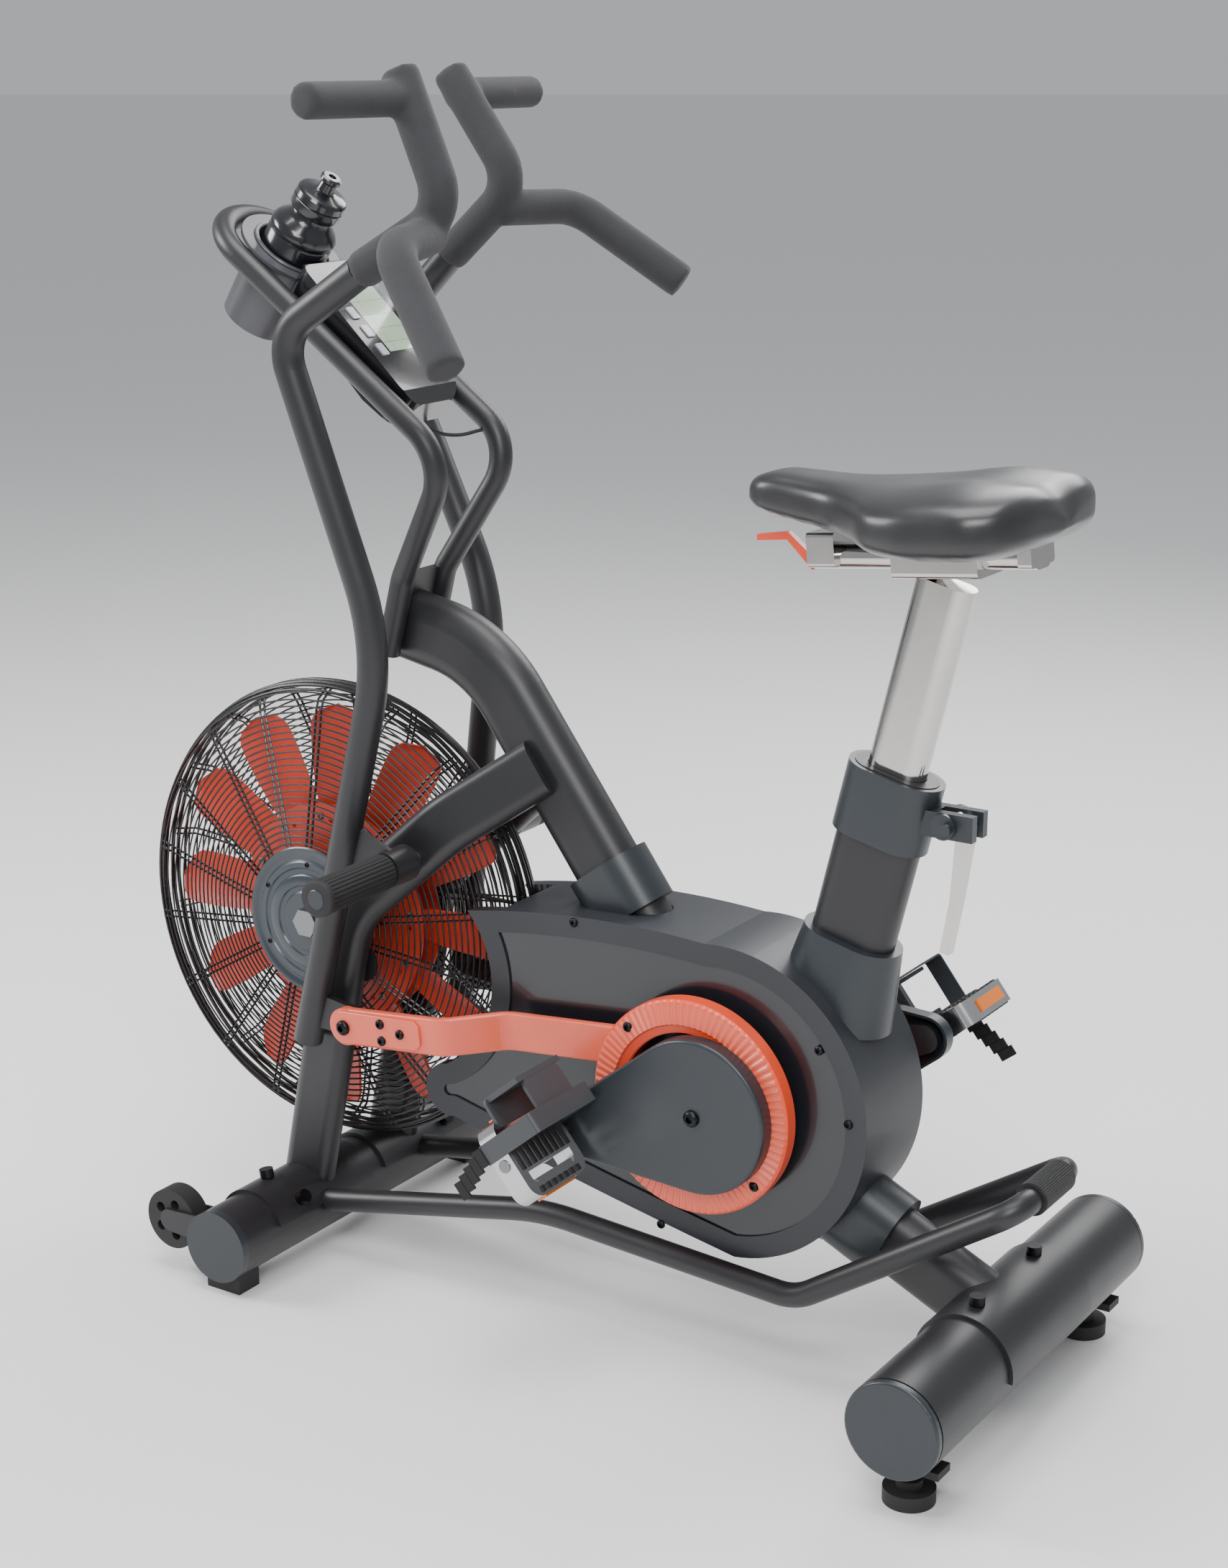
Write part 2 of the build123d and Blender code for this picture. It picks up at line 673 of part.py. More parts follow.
arm_left = arm(-1, SWING)
save(arm_left, "arm_left")
arm_right = arm(1, -SWING)
save(arm_right, "arm_right")
grip_left = grip(arm_left, -1, SWING)
save(grip_left, "grip_left")
grip_right = grip(arm_right, 1, -SWING)
save(grip_right, "grip_right")
link_left = link(-1, SWING)
save(link_left, "link_left")
link_right = link(1, -SWING)
save(link_right, "link_right")

# Console mast, console and bottle ------------------------------------------
mast_side = [(104, -38, 705), (126, -38, 790), (205, -MAST_HALF, 925), (-115, -MAST_HALF, 1158)]
mast_path = mast_side + [(x, -y, z) for x, y, z in reversed(mast_side)]
with BuildPart() as console_mast:
    add(tube(mast_path, [40, 55, 61, 61, 55, 40], MAST_R).part)
    with BuildSketch(Plane(origin=(118, 0, 776), x_dir=(0, 1, 0), z_dir=(0.97, 0, -0.24))):
        Trapezoid(72, 34, 85)
    extrude(amount=4, both=True)
    add(arch_tube.part, mode=Mode.SUBTRACT)
save(console_mast, "console_mast")

CONSOLE_HALF = 47.0
with BuildPart() as console_shell:
    with BuildSketch(TRAY_SIDE):
        with BuildLine():
            Polyline((-252, -26), (-257, 6), (-241, 15), (-63, 37), (-54, 30), (-60, 2), (-84, -8), (-205, -28), close=True)
        make_face()
    extrude(amount=CONSOLE_HALF, both=True)
    with BuildSketch(TRAY.offset(-60)):
        with Locations((-155.5, 0)):
            RectangleRounded(203, 2 * CONSOLE_HALF, 24)
    extrude(amount=140, mode=Mode.INTERSECT)
    FACE = Plane(origin=TRAY_SIDE.from_local_coords((-152, 26, 0)),
                 x_dir=TRAY_SIDE.from_local_coords((-63, 37, 0)) - TRAY_SIDE.from_local_coords((-241, 15, 0)),
                 z_dir=TRAY_SIDE.from_local_coords((-174, 204, 0)) - TRAY_SIDE.from_local_coords((-152, 26, 0)))
    with BuildSketch(FACE):
        with Locations((14, -9)):
            Rectangle(104, 54)
    extrude(amount=-2, mode=Mode.SUBTRACT)
    KEYS = {"start": (-72, -30), "mode": (-34, 29), "set": (-8, 29), "reset": (18, 29)}
    with BuildSketch(FACE):
        for spot in KEYS.values():
            with Locations(spot):
                RectangleRounded(17, 12, 2)
    extrude(amount=-4, mode=Mode.SUBTRACT)
save(console_shell, "console_shell")

with BuildPart() as console_screen:
    with BuildSketch(FACE.offset(-2)):
        with Locations((14, -9)):
            Rectangle(104, 54)
    extrude(amount=2.2)
save(console_screen, "console_screen")
for name, spot in KEYS.items():
    with BuildPart() as key:
        with BuildSketch(FACE.offset(-1.8)):
            with Locations(spot):
                RectangleRounded(16, 11, 1.6)
        extrude(amount=3.4)
    save(key, f"button_{name}")

cable_route = [(108, 16, 963), (110, 20, 948), (124, 30, 936), (146, 42, 934), (166, 52, 941), (180, 60, 944)]
cable_radii = []
for before, here, after in zip(cable_route, cable_route[1:], cable_route[2:]):
    run_in = Vector(*here) - Vector(*before)
    run_out = Vector(*after) - Vector(*here)
    turn = radians(run_in.get_angle(run_out))
    half = sin(turn / 2) / cos(turn / 2)
    cable_radii.append(0.45 * min(run_in.length, run_out.length) / half)
with BuildPart() as console_cable:
    add(tube(cable_route, cable_radii, 2).part)
    add(console_shell.part, mode=Mode.SUBTRACT)
    add(console_mast.part, mode=Mode.SUBTRACT)
save(console_cable, "console_cable")

CUP = Plane(origin=(-52, 0, 1112), x_dir=MAST_UP, z_dir=(0.589, 0, 0.808))
CUP_AXIS = Axis(CUP.origin, CUP.z_dir)
with BuildPart() as bottle_holder:
    with BuildSketch(CUP.offset(-78)):
        Circle(38)
    with BuildSketch(CUP.offset(17)):
        Circle(44)
    loft()
    with BuildSketch(CUP.offset(13)):
        Circle(60)
    extrude(amount=4)
    with BuildSketch(CUP.offset(-75)):
        Circle(35)
    with BuildSketch(CUP.offset(18)):
        Circle(41.5)
    loft(mode=Mode.SUBTRACT)
    add(console_shell.part, mode=Mode.SUBTRACT)
save(bottle_holder, "bottle_holder")

with BuildPart() as bottle:
    for low, length, radius in ((-74.6, 121, 34), (46.4, 6, 30), (52, 10, 24), (62, 16, 28), (78, 8, 24),
                                (86, 18, 8), (102, 6, 10)):
        with BuildSketch(CUP.offset(low)):
            Circle(radius)
        extrude(amount=length)
save(bottle, "bottle")

# Seat ----------------------------------------------------------------------
SLIDE_DIR = Vector(235, 0, 24).normalized()
SLIDE = Plane(origin=(610, 0, 860), x_dir=(0, 1, 0), z_dir=SLIDE_DIR)
with BuildPart() as seat_post:
    add(seat_slot(385, 477, 62, 34).part)
    with BuildSketch(SLIDE.offset(92)):
        with Locations((0, -2)):
            RectangleRounded(58, 34, 6)
    extrude(amount=90)
    with BuildSketch(SLIDE.offset(-100)):
        SlotOverall(40.8, 24.8)
    extrude(amount=400, mode=Mode.SUBTRACT)
save(seat_post, "seat_post")
with BuildPart() as saddle_slider:
    with BuildSketch(SLIDE):
        SlotOverall(40, 24)
    extrude(amount=236)
    for start, length in ((0, 30), (222, 14)):
        with BuildSketch(SLIDE.offset(start)):
            with Locations((0, 8)):
                RectangleRounded(52, 34, 4)
        extrude(amount=length)
save(saddle_slider, "saddle_slider")

SEAT_BOTTOM = 898.0
with BuildPart() as saddle:
    with BuildSketch(Plane.XY.offset(SEAT_BOTTOM)):
        with Locations((572, 0)):
            Circle(34)
        with Locations((775, -52), (775, 52)):
            Circle(72)
        make_hull()
        with Locations((640, -128), (640, 128)):
            Circle(68, mode=Mode.SUBTRACT)
    extrude(amount=52)
    fillet(saddle.faces().sort_by(Axis.Z)[-1].edges(), 16)
    add(saddle_slider.part, mode=Mode.SUBTRACT)
save(saddle, "saddle")

with BuildPart() as fore_aft_lever:
    with BuildSketch(side(4)):
        with BuildLine():
            Polyline((604, 858), (604, 845), (575, 872), (541, 868), (541, 874), (576, 880), close=True)
        make_face()
    extrude(amount=8)
    add(saddle_slider.part, mode=Mode.SUBTRACT)
save(fore_aft_lever, "fore_aft_lever")
with BuildPart() as seat_lever:
    with BuildSketch(side(6)):
        with Locations((QR_X, QR_Z)):
            Circle(11)
        with BuildLine():
            Polyline((QR_X + 2, QR_Z + 3), (QR_X + 20, QR_Z), (QR_X + 8, QR_Z - 80), (QR_X - 2, QR_Z - 135),
                     (QR_X - 12, QR_Z - 133), (QR_X - 3, QR_Z - 80), close=True)
        make_face()
    extrude(amount=12)
    with Locations(Location((QR_X, 0, QR_Z), (90, 0, 0))):
        Cylinder(QR_PIN_R + PLAY, 20, mode=Mode.SUBTRACT)
    add(seat_slot(430, 230, 92, 52).part, mode=Mode.SUBTRACT)
save(seat_lever, "seat_lever")

# Wheels and bolts ----------------------------------------------------------
with BuildPart() as wheel:
    with BuildSketch(side(-WHEEL_Y + 12)):
        with Locations((WHEEL_X, WHEEL_Z)):
            Circle(35)
            Circle(5 + PLAY, mode=Mode.SUBTRACT)
            with PolarLocations(19, 5):
                Circle(6, mode=Mode.SUBTRACT)
    extrude(amount=24)
save(wheel, "transport_wheel_left")
wheel_right = mirrored(wheel)
save(wheel_right, "transport_wheel_right")

with BuildPart() as frame_bolts:
    for x, y, z, tilt in ((-8, -140, 101.4, -10), (36, -135, 83.5, 52), (REAR_TUBE_X, -67, 146, 0)):
        with Locations(Location((x, y, z), (0, tilt, 0))):
            Cylinder(8, 10, align=(Align.CENTER, Align.CENTER, Align.MIN))
    mirror(about=Plane.XZ)
    add(front_tube_space.part, mode=Mode.SUBTRACT)
    add(rear_tube_space.part, mode=Mode.SUBTRACT)
save(frame_bolts, "frame_bolts")
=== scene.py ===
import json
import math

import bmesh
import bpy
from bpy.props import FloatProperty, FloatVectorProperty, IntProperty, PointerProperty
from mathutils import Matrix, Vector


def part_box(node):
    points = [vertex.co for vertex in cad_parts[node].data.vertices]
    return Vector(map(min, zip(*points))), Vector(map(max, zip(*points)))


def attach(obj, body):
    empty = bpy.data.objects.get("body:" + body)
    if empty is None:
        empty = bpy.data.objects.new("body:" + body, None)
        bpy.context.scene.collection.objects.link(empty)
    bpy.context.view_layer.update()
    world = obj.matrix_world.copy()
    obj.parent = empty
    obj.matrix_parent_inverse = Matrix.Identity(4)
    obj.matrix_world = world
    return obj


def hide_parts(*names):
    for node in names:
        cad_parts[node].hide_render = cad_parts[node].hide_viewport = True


bl_info = {
    "name": "Air Bike",
    "version": (1, 0, 0),
    "blender": (4, 5, 0),
    "location": "View3D > Sidebar > Air Bike",
    "description": "Finishes an air bike frame with its wires, padding, grips, casings and surfaces",
    "category": "Object",
}

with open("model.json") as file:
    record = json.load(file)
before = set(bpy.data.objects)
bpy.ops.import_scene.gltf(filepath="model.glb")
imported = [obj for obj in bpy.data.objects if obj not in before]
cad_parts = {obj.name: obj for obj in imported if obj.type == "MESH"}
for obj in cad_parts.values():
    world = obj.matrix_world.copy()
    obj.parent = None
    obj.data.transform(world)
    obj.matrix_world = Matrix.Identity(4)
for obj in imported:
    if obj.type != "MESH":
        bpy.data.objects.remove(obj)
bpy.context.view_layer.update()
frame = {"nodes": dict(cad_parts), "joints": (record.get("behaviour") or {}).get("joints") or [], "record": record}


def joint_spot(name):
    """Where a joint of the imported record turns."""
    return Vector(next(joint for joint in frame["joints"] if joint["name"] == name)["pos_m"])


# Pieces are drawn from a zero on the floor under the fan axle, and HOME carries them into the frame.
HOME = Vector((joint_spot("fan_spin").x, 0, 0))
FAN = Vector((0, 0, 0.386))
CRANK = Vector((0.538, 0, 0.290))
CUP_ORIGIN = Vector((-0.052, 0, 1.112))
CUP_AXIS = Vector((0.589, 0, 0.808)).normalized()
HUB_Y = 0.060
DOME_INNER = 0.087
DOME_SHOULDER = 0.238
DOME_RIM = 0.2656
SHOULDER_Y = 0.035
ACROSS = Vector((0, 1, 0))
PIVOT = Vector((0.166, 0, 0.494))
CARRY_X = 0.878
CARRY_Z = 0.255
PANEL_Y = 0.0601
FLAT_ENOUGH = 0.95
RING_FROM_X = 0.425
RING_TO_Y = 0.0925
RING_R = 0.116


# Shader arithmetic -----------------------------------------------------------


def plug(tree, target, value):
    """Links a value that varies to a socket, or sets a plain one on it."""
    if isinstance(value, Value):
        tree.links.new(value.socket, target)
    else:
        target.default_value = value


class Value:
    """A shader socket that plain arithmetic can be written on."""

    def __init__(self, tree, socket):
        self.tree = tree
        self.socket = socket

    def math(self, operation, left, right=0.0):
        node = self.tree.nodes.new("ShaderNodeMath")
        node.operation = operation
        plug(self.tree, node.inputs[0], left)
        plug(self.tree, node.inputs[1], right)
        return Value(self.tree, node.outputs[0])

    def __add__(self, other):
        return self.math("ADD", self, other)

    def __radd__(self, other):
        return self.math("ADD", other, self)

    def __sub__(self, other):
        return self.math("SUBTRACT", self, other)

    def __rsub__(self, other):
        return self.math("SUBTRACT", other, self)

    def __mul__(self, other):
        return self.math("MULTIPLY", self, other)

    def __rmul__(self, other):
        return self.math("MULTIPLY", other, self)

    def __gt__(self, other):
        return self.math("GREATER_THAN", self, other)

    def __lt__(self, other):
        return self.math("LESS_THAN", self, other)

    def size(self):
        return self.math("ABSOLUTE", self)

    def wave(self):
        return self.math("SINE", self)


class Finish:
    """One surface finish: a Principled shader and the nodes that vary it."""

    def __init__(self, name, color, roughness, **constants):
        self.name = name
        self.material = bpy.data.materials.new(name)
        self.material.use_nodes = True
        self.tree = self.material.node_tree
        self.shader = self.tree.nodes["Principled BSDF"]
        self.color = (*color, 1.0)
        self.set("Base Color", self.color)
        self.set("Roughness", roughness)
        for key, value in constants.items():
            self.set(key.replace("_", " "), value)
        self.place = self.node("TexCoord", output="Object")

    def set(self, name, value):
        plug(self.tree, self.shader.inputs[name], value)

    def node(self, kind, settings=None, inputs=None, output=0):
        """Adds a node of a type: its settings first, then the values or links of its sockets."""
        node = self.tree.nodes.new("ShaderNode" + kind)
        for key, value in (settings or {}).items():
            if key == "stops":
                ramp = node.color_ramp.elements
                ramp[0].position, ramp[1].position = value[0][0], value[1][0]
                ramp[0].color, ramp[1].color = (*[value[0][1]] * 3, 1), (*[value[1][1]] * 3, 1)
            else:
                setattr(node, key, value)
        for key, value in (inputs or {}).items():
            plug(self.tree, node.inputs[key], value)
        return Value(self.tree, node.outputs[output])

    def noise(self, scale, detail=2.0, roughness=0.5):
        return self.node("TexNoise", None, {"Vector": self.place, "Scale": scale, "Detail": detail,
                                            "Roughness": roughness})

    def cells(self, scale):
        return self.node("TexVoronoi", None, {"Vector": self.place, "Scale": scale}, "Distance")

    def ramp(self, value, low, high):
        return self.node("ValToRGB", {"stops": [(low, 0.0), (high, 1.0)]}, {"Fac": value}, "Color")

    def blend(self, factor, first, second):
        """A colour between two, by a factor that varies."""
        return self.node("Mix", {"data_type": "RGBA"}, {0: factor, 6: first, 7: second}, 2)

    def bump(self, height, strength, distance):
        self.set("Normal", self.node("Bump", None, {"Height": height, "Strength": strength,
                                                    "Distance": distance}, "Normal"))

    def axes(self, vector=None):
        """The X, Y and Z of a place or a direction."""
        first = self.node("SeparateXYZ", None, {0: vector or self.place})
        return [Value(self.tree, socket) for socket in first.socket.node.outputs]

    def shade(self, amount):
        """The finish's own colour, lighter or darker."""
        return (*[min(1.0, channel * amount) for channel in self.color[:3]], 1.0)


FINISHES = {}


def powder_coat(name, color, roughness=0.42):
    """Baked powder paint: fine orange peel, a sparse sparkle and rubbed patches."""
    finish = Finish(name, color, roughness, Coat_Roughness=0.35)
    finish.set("Coat Weight", 0.12)
    peel = finish.noise(900.0, 3.0)
    patches = finish.noise(9.0, 4.0, 0.6)
    sparkle = finish.ramp(finish.noise(2600.0, 1.0), 0.66, 0.78)
    base = finish.blend(patches, finish.shade(0.8), finish.shade(1.25))
    finish.set("Base Color", finish.blend(sparkle * 0.55, base, finish.shade(4.5)))
    finish.set("Roughness", roughness - 0.06 + 0.14 * patches)
    finish.bump(peel, 0.22, 0.0004)
    return finish


def moulding(name, color, roughness, grain=1400.0, depth=0.12, coat=0.0):
    """Moulded plastic: a fine spark-eroded grain and faint handling marks."""
    finish = Finish(name, color, roughness, Coat_Roughness=0.06)
    finish.set("Coat Weight", coat)
    marks = finish.noise(14.0, 5.0, 0.65)
    finish.set("Base Color", finish.blend(marks, finish.shade(0.85), finish.shade(1.2)))
    finish.set("Roughness", roughness - 0.05 + 0.12 * marks)
    finish.bump(finish.noise(grain, 2.0), depth, 0.0003)
    return finish


def casing_finish():
    """The casing: a satin outer band, and a lacquered panel sunk inside it."""
    finish = Finish("casing_black", (0.017, 0.019, 0.023), 0.34, Coat_Roughness=0.05)
    across = finish.axes()[1]
    facing = finish.axes(finish.node("NewGeometry", None, None, "Normal"))[1]
    panel = (facing.size() > FLAT_ENOUGH) * (across.size() < PANEL_Y)
    marks = finish.noise(12.0, 4.0, 0.6)
    finish.set("Base Color", finish.blend(panel, finish.shade(1.25), (0.009, 0.012, 0.016, 1.0)))
    finish.set("Roughness", 0.4 + 0.1 * marks - 0.22 * panel)
    finish.set("Coat Weight", 0.05 + 0.4 * panel)
    finish.bump(finish.noise(1300.0, 2.0) * (1.0 - panel), 0.12, 0.0003)
    return finish


def foam_finish():
    """Closed-cell foam: dense fine pores over a dull charcoal skin."""
    finish = Finish("foam", (0.026, 0.026, 0.029), 0.86, Sheen_Weight=0.08)
    pores = finish.cells(950.0)
    cloudy = finish.noise(22.0, 4.0, 0.6)
    fine = finish.noise(2200.0, 2.0)
    finish.set("Base Color", finish.blend(cloudy * 0.5 + fine * 0.5, finish.shade(0.55), finish.shade(1.7)))
    finish.set("Roughness", 0.8 + 0.15 * pores)
    finish.bump(pores * 0.7 + fine * 0.6, 0.4, 0.0007)
    return finish


def vinyl_finish():
    """Upholstery vinyl: a soft leather grain with a satin shine."""
    finish = Finish("vinyl", (0.018, 0.018, 0.02), 0.34, Coat_Roughness=0.22)
    finish.set("Coat Weight", 0.25)
    grain = finish.cells(620.0)
    folds = finish.noise(30.0, 5.0, 0.6)
    finish.set("Base Color", finish.blend(folds, finish.shade(0.7), finish.shade(1.35)))
    finish.set("Roughness", 0.3 + 0.14 * folds)
    finish.bump(grain * 0.5 + folds * 0.5, 0.16, 0.0008)
    return finish


def metal(name, color, roughness, streak=0.0):
    """Bare or plated metal, with light wear and, where asked, brushing."""
    finish = Finish(name, color, roughness, Metallic=1.0)
    wear = finish.noise(25.0, 5.0, 0.65)
    finish.set("Base Color", finish.blend(wear, finish.shade(0.82), finish.shade(1.06)))
    finish.set("Roughness", roughness + 0.1 * wear)
    if streak:
        height = finish.axes()[2]
        finish.bump((height * 9000.0).wave() * 0.5 + finish.noise(700.0), streak, 0.0001)
    return finish


def coral_finish():
    """Salmon-red paint on pressed steel, deeper on the ring than on the rod."""
    finish = Finish("coral", (0.78, 0.115, 0.060), 0.38, Coat_Roughness=0.2)
    finish.set("Coat Weight", 0.35)
    along, across = finish.axes()[:2]
    ring = (along > RING_FROM_X + HOME.x) * (across.size() < RING_TO_Y)
    patches = finish.noise(16.0, 4.0, 0.6)
    paint = finish.blend(patches, finish.shade(0.92), finish.shade(1.08))
    finish.set("Base Color", finish.blend(ring, paint, (0.83, 0.075, 0.022, 1.0)))
    finish.set("Roughness", 0.32 + 0.12 * patches)
    finish.bump(finish.noise(800.0, 3.0), 0.14, 0.0003)
    return finish


def screen_finish():
    """A grey-green liquid crystal window with faint dividing lines."""
    finish = Finish("screen", (0.40, 0.50, 0.37), 0.14)
    finish.set("Coat Weight", 0.6)
    x, y, z = finish.axes()
    down = x * 0.7297 - z * 0.6837
    rows = ((down * 330.0).wave() > 0.985)
    column = ((y + 0.006).size() < 0.0004)
    lines = rows + column
    cloud = finish.noise(35.0, 3.0)
    face = finish.blend(cloud, finish.shade(0.93), finish.shade(1.1))
    finish.set("Base Color", finish.blend(lines * 0.5, face, (0.12, 0.17, 0.12, 1.0)))
    return finish


def knurl_bump(finish, pitch):
    """Adds a diamond knurl to a rubber grip that lies across the bike."""
    x, y, z = finish.axes()
    turn = finish.node("Math", {"operation": "ARCTAN2"}, {0: z - CARRY_Z, 1: x - (CARRY_X + HOME.x)})
    first = (turn * 22.0 + y * pitch).wave()
    second = (turn * 22.0 - y * pitch).wave()
    finish.bump(first * second, 0.8, 0.0012)


def make_finishes():
    """Every finish of the bike, by the record's slot name."""
    made = [
        powder_coat("powder_black", (0.014, 0.014, 0.016)),
        powder_coat("graphite", (0.019, 0.024, 0.029), 0.36),
        powder_coat("wire_black", (0.007, 0.007, 0.008), 0.26),
        casing_finish(),
        moulding("console_black", (0.008, 0.008, 0.010), 0.16, coat=0.6),
        moulding("rubber", (0.014, 0.014, 0.015), 0.66, 700.0, 0.35),
        moulding("knurled_rubber", (0.012, 0.012, 0.013), 0.6),
        moulding("fan_red", (0.66, 0.05, 0.022), 0.42, coat=0.1),
        moulding("red_plastic", (0.72, 0.06, 0.02), 0.3, coat=0.3),
        moulding("key_silver", (0.45, 0.45, 0.5), 0.2, coat=0.5),
        moulding("key_blue", (0.30, 0.40, 0.50), 0.25, coat=0.4),
        moulding("bottle_black", (0.010, 0.010, 0.013), 0.2, coat=0.5),
        moulding("silver_plastic", (0.060, 0.060, 0.068), 0.34, coat=0.2),
        moulding("hub_blue", (0.022, 0.032, 0.042), 0.3, coat=0.25),
        moulding("toe_grey", (0.045, 0.05, 0.056), 0.45),
        moulding("amber", (0.85, 0.20, 0.01), 0.18, coat=0.6),
        moulding("webbing", (0.010, 0.010, 0.011), 0.8, 1800.0, 0.6),
        foam_finish(),
        vinyl_finish(),
        metal("chrome", (0.62, 0.60, 0.58), 0.07),
        metal("steel", (0.27, 0.27, 0.28), 0.34, 0.1),
        metal("black_steel", (0.030, 0.030, 0.032), 0.32),
        metal("pedal_resin", (0.62, 0.62, 0.63), 0.14),
        coral_finish(),
        screen_finish(),
    ]
    for finish in made:
        FINISHES[finish.name] = finish
    knurl_bump(FINISHES["knurled_rubber"], 900.0)


# Mesh building ---------------------------------------------------------------


def piece(name, verts, faces, finish, body, smooth=35.0):
    """A mesh object with a finish, riding on a body."""
    mesh = bpy.data.meshes.new(name)
    mesh.from_pydata([tuple(v + HOME) for v in verts], [], faces)
    work = bmesh.new()
    work.from_mesh(mesh)
    bmesh.ops.remove_doubles(work, verts=work.verts, dist=1e-6)
    bmesh.ops.recalc_face_normals(work, faces=work.faces)
    work.to_mesh(mesh)
    work.free()
    thing = bpy.data.objects.new(name, mesh)
    bpy.context.scene.collection.objects.link(thing)
    dress(thing, finish, smooth)
    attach(thing, body)
    return thing


def dress(thing, finish, smooth=35.0):
    """Gives an object its finish and smooth shading up to an angle."""
    thing.data.materials.clear()
    thing.data.materials.append(FINISHES[finish].material)
    if smooth:
        thing.data.polygons.foreach_set("use_smooth", [True] * len(thing.data.polygons))
        thing.data.set_sharp_from_angle(angle=math.radians(smooth))


def frame_about(axis):
    """Two directions square to an axis and to each other."""
    axis = axis.normalized()
    side = axis.orthogonal().normalized()
    return side, axis.cross(side)


def lathe(profile, origin, axis, steps=64, ripple=None):
    """Verts and faces of a profile of (along, radius) turned about an axis. It closes on itself."""
    axis = axis.normalized()
    side, other = frame_about(axis)
    verts, faces = [], []
    rows = len(profile)
    for step in range(steps):
        angle = 2 * math.pi * step / steps
        out = side * math.cos(angle) + other * math.sin(angle)
        for along, radius in profile:
            reach = radius + (ripple(angle, along, radius) if ripple else 0.0)
            verts.append(origin + axis * along + out * reach)
    for step in range(steps):
        here, there = step * rows, (step + 1) % steps * rows
        for row in range(rows):
            after = (row + 1) % rows
            if max(profile[row][1], profile[after][1]) > 1e-9:
                faces.append((here + row, here + after, there + after, there + row))
    return verts, faces


def pipe(points, radius, sides=8, closed=False):
    """Verts and faces of a round wire along points."""
    verts, faces = [], []
    count = len(points)
    normal = None
    for index, point in enumerate(points):
        before = points[index - 1] if (index or closed) else point
        after = points[(index + 1) % count] if (closed or index < count - 1) else point
        run = (after - before).normalized()
        if normal is None:
            normal = run.orthogonal().normalized()
        normal = (normal - run * normal.dot(run)).normalized()
        side = run.cross(normal)
        for turn in range(sides):
            angle = 2 * math.pi * turn / sides
            verts.append(point + (normal * math.cos(angle) + side * math.sin(angle)) * radius)
    for index in range(count if closed else count - 1):
        here, there = index * sides, (index + 1) % count * sides
        for turn in range(sides):
            after = (turn + 1) % sides
            faces.append((here + turn, here + after, there + after, there + turn))
    if not closed:
        faces.append(tuple(range(sides)))
        faces.append(tuple((count - 1) * sides + turn for turn in range(sides)))
    return verts, faces


def gather(shapes):
    """Several (verts, faces) as one."""
    verts, faces = [], []
    for more_verts, more_faces in shapes:
        base = len(verts)
        verts.extend(more_verts)
        faces.extend(tuple(base + corner for corner in face) for face in more_faces)
    return verts, faces


def screw(spot, axis, radius=0.006):
    """A button-head screw with a six-sided socket."""
    head = [(0, 0.0), (0, radius), (radius * 0.25, radius * 0.98), (radius * 0.5, radius * 0.78),
            (radius * 0.62, radius * 0.5), (radius * 0.62, radius * 0.42), (radius * 0.2, radius * 0.38),
            (radius * 0.2, 0.0)]
    return lathe(head, spot, axis, 24)


def cad(node, finish, smooth=35.0):
    """A CAD node that keeps its shape and takes a finish."""
    dress(frame["nodes"][node], finish, smooth)


def stations(table, position):
    """A smooth curve through given stations of (position, value), read at one position."""
    position = min(max(position, table[0][0]), table[-1][0])
    steps = [(v - u) / (b - a) for (a, u), (b, v) in zip(table, table[1:])]
    slopes = [steps[0]]
    for before, after in zip(steps, steps[1:]):
        slopes.append(2 * before * after / (before + after) if before * after > 0 else 0.0)
    slopes.append(steps[-1])
    for index, ((low, first), (high, second)) in enumerate(zip(table, table[1:])):
        if position <= high:
            run = high - low
            t = (position - low) / run
            rise = slopes[index] * run, slopes[index + 1] * run
            return ((2 * t ** 3 - 3 * t ** 2 + 1) * first + (t ** 3 - 2 * t ** 2 + t) * rise[0]
                    + (3 * t ** 2 - 2 * t ** 3) * second + (t ** 3 - t ** 2) * rise[1])


# The bike's groups -----------------------------------------------------------


class BikeSizes(bpy.types.PropertyGroup):
    wire: FloatProperty(name="Cage wire", description="Radius of a cage wire", default=0.0011, unit="LENGTH")
    rings: IntProperty(name="Cage rings", description="Rings on each face of the cage", default=24)
    ribs: IntProperty(name="Cage ribs", description="Double ribs on each face of the cage", default=18)
    peg_ribs: IntProperty(name="Peg ribs", description="Ribs along a foot peg", default=26)
    ring_ribs: IntProperty(name="Ring ribs", description="Ribs round a link's ring", default=84)
    floor_color: FloatVectorProperty(name="Floor", description="Colour of the floor", subtype="COLOR",
                                     default=(0.86, 0.86, 0.86))


def sizes():
    return bpy.context.scene.bike_sizes


class BIKE_OT_finishes(bpy.types.Operator):
    """Make every surface finish and put it on the pieces that keep their shape"""

    bl_idname = "bike.finishes"
    bl_label = "Finishes"

    def execute(self, context):
        make_finishes()
        other = {"console_shell": "console_black", "carry_grip": "knurled_rubber",
                 "toe_cage_left": "toe_grey", "toe_cage_right": "toe_grey"}
        for part in frame["record"]["subparts"]:
            cad(part["node"], other.get(part["node"], part["material_slot"]))
        return {"FINISHED"}


def dome_y(radius):
    """How far the cage's face stands from the middle plane at a radius."""
    if radius <= DOME_SHOULDER:
        share = (radius - DOME_INNER) / (DOME_SHOULDER - DOME_INNER)
        return HUB_Y + (SHOULDER_Y - HUB_Y) * share
    share = min(1.0, (radius - DOME_SHOULDER) / (DOME_RIM - DOME_SHOULDER))
    return SHOULDER_Y * math.sqrt(max(0.0, 1 - share * share))


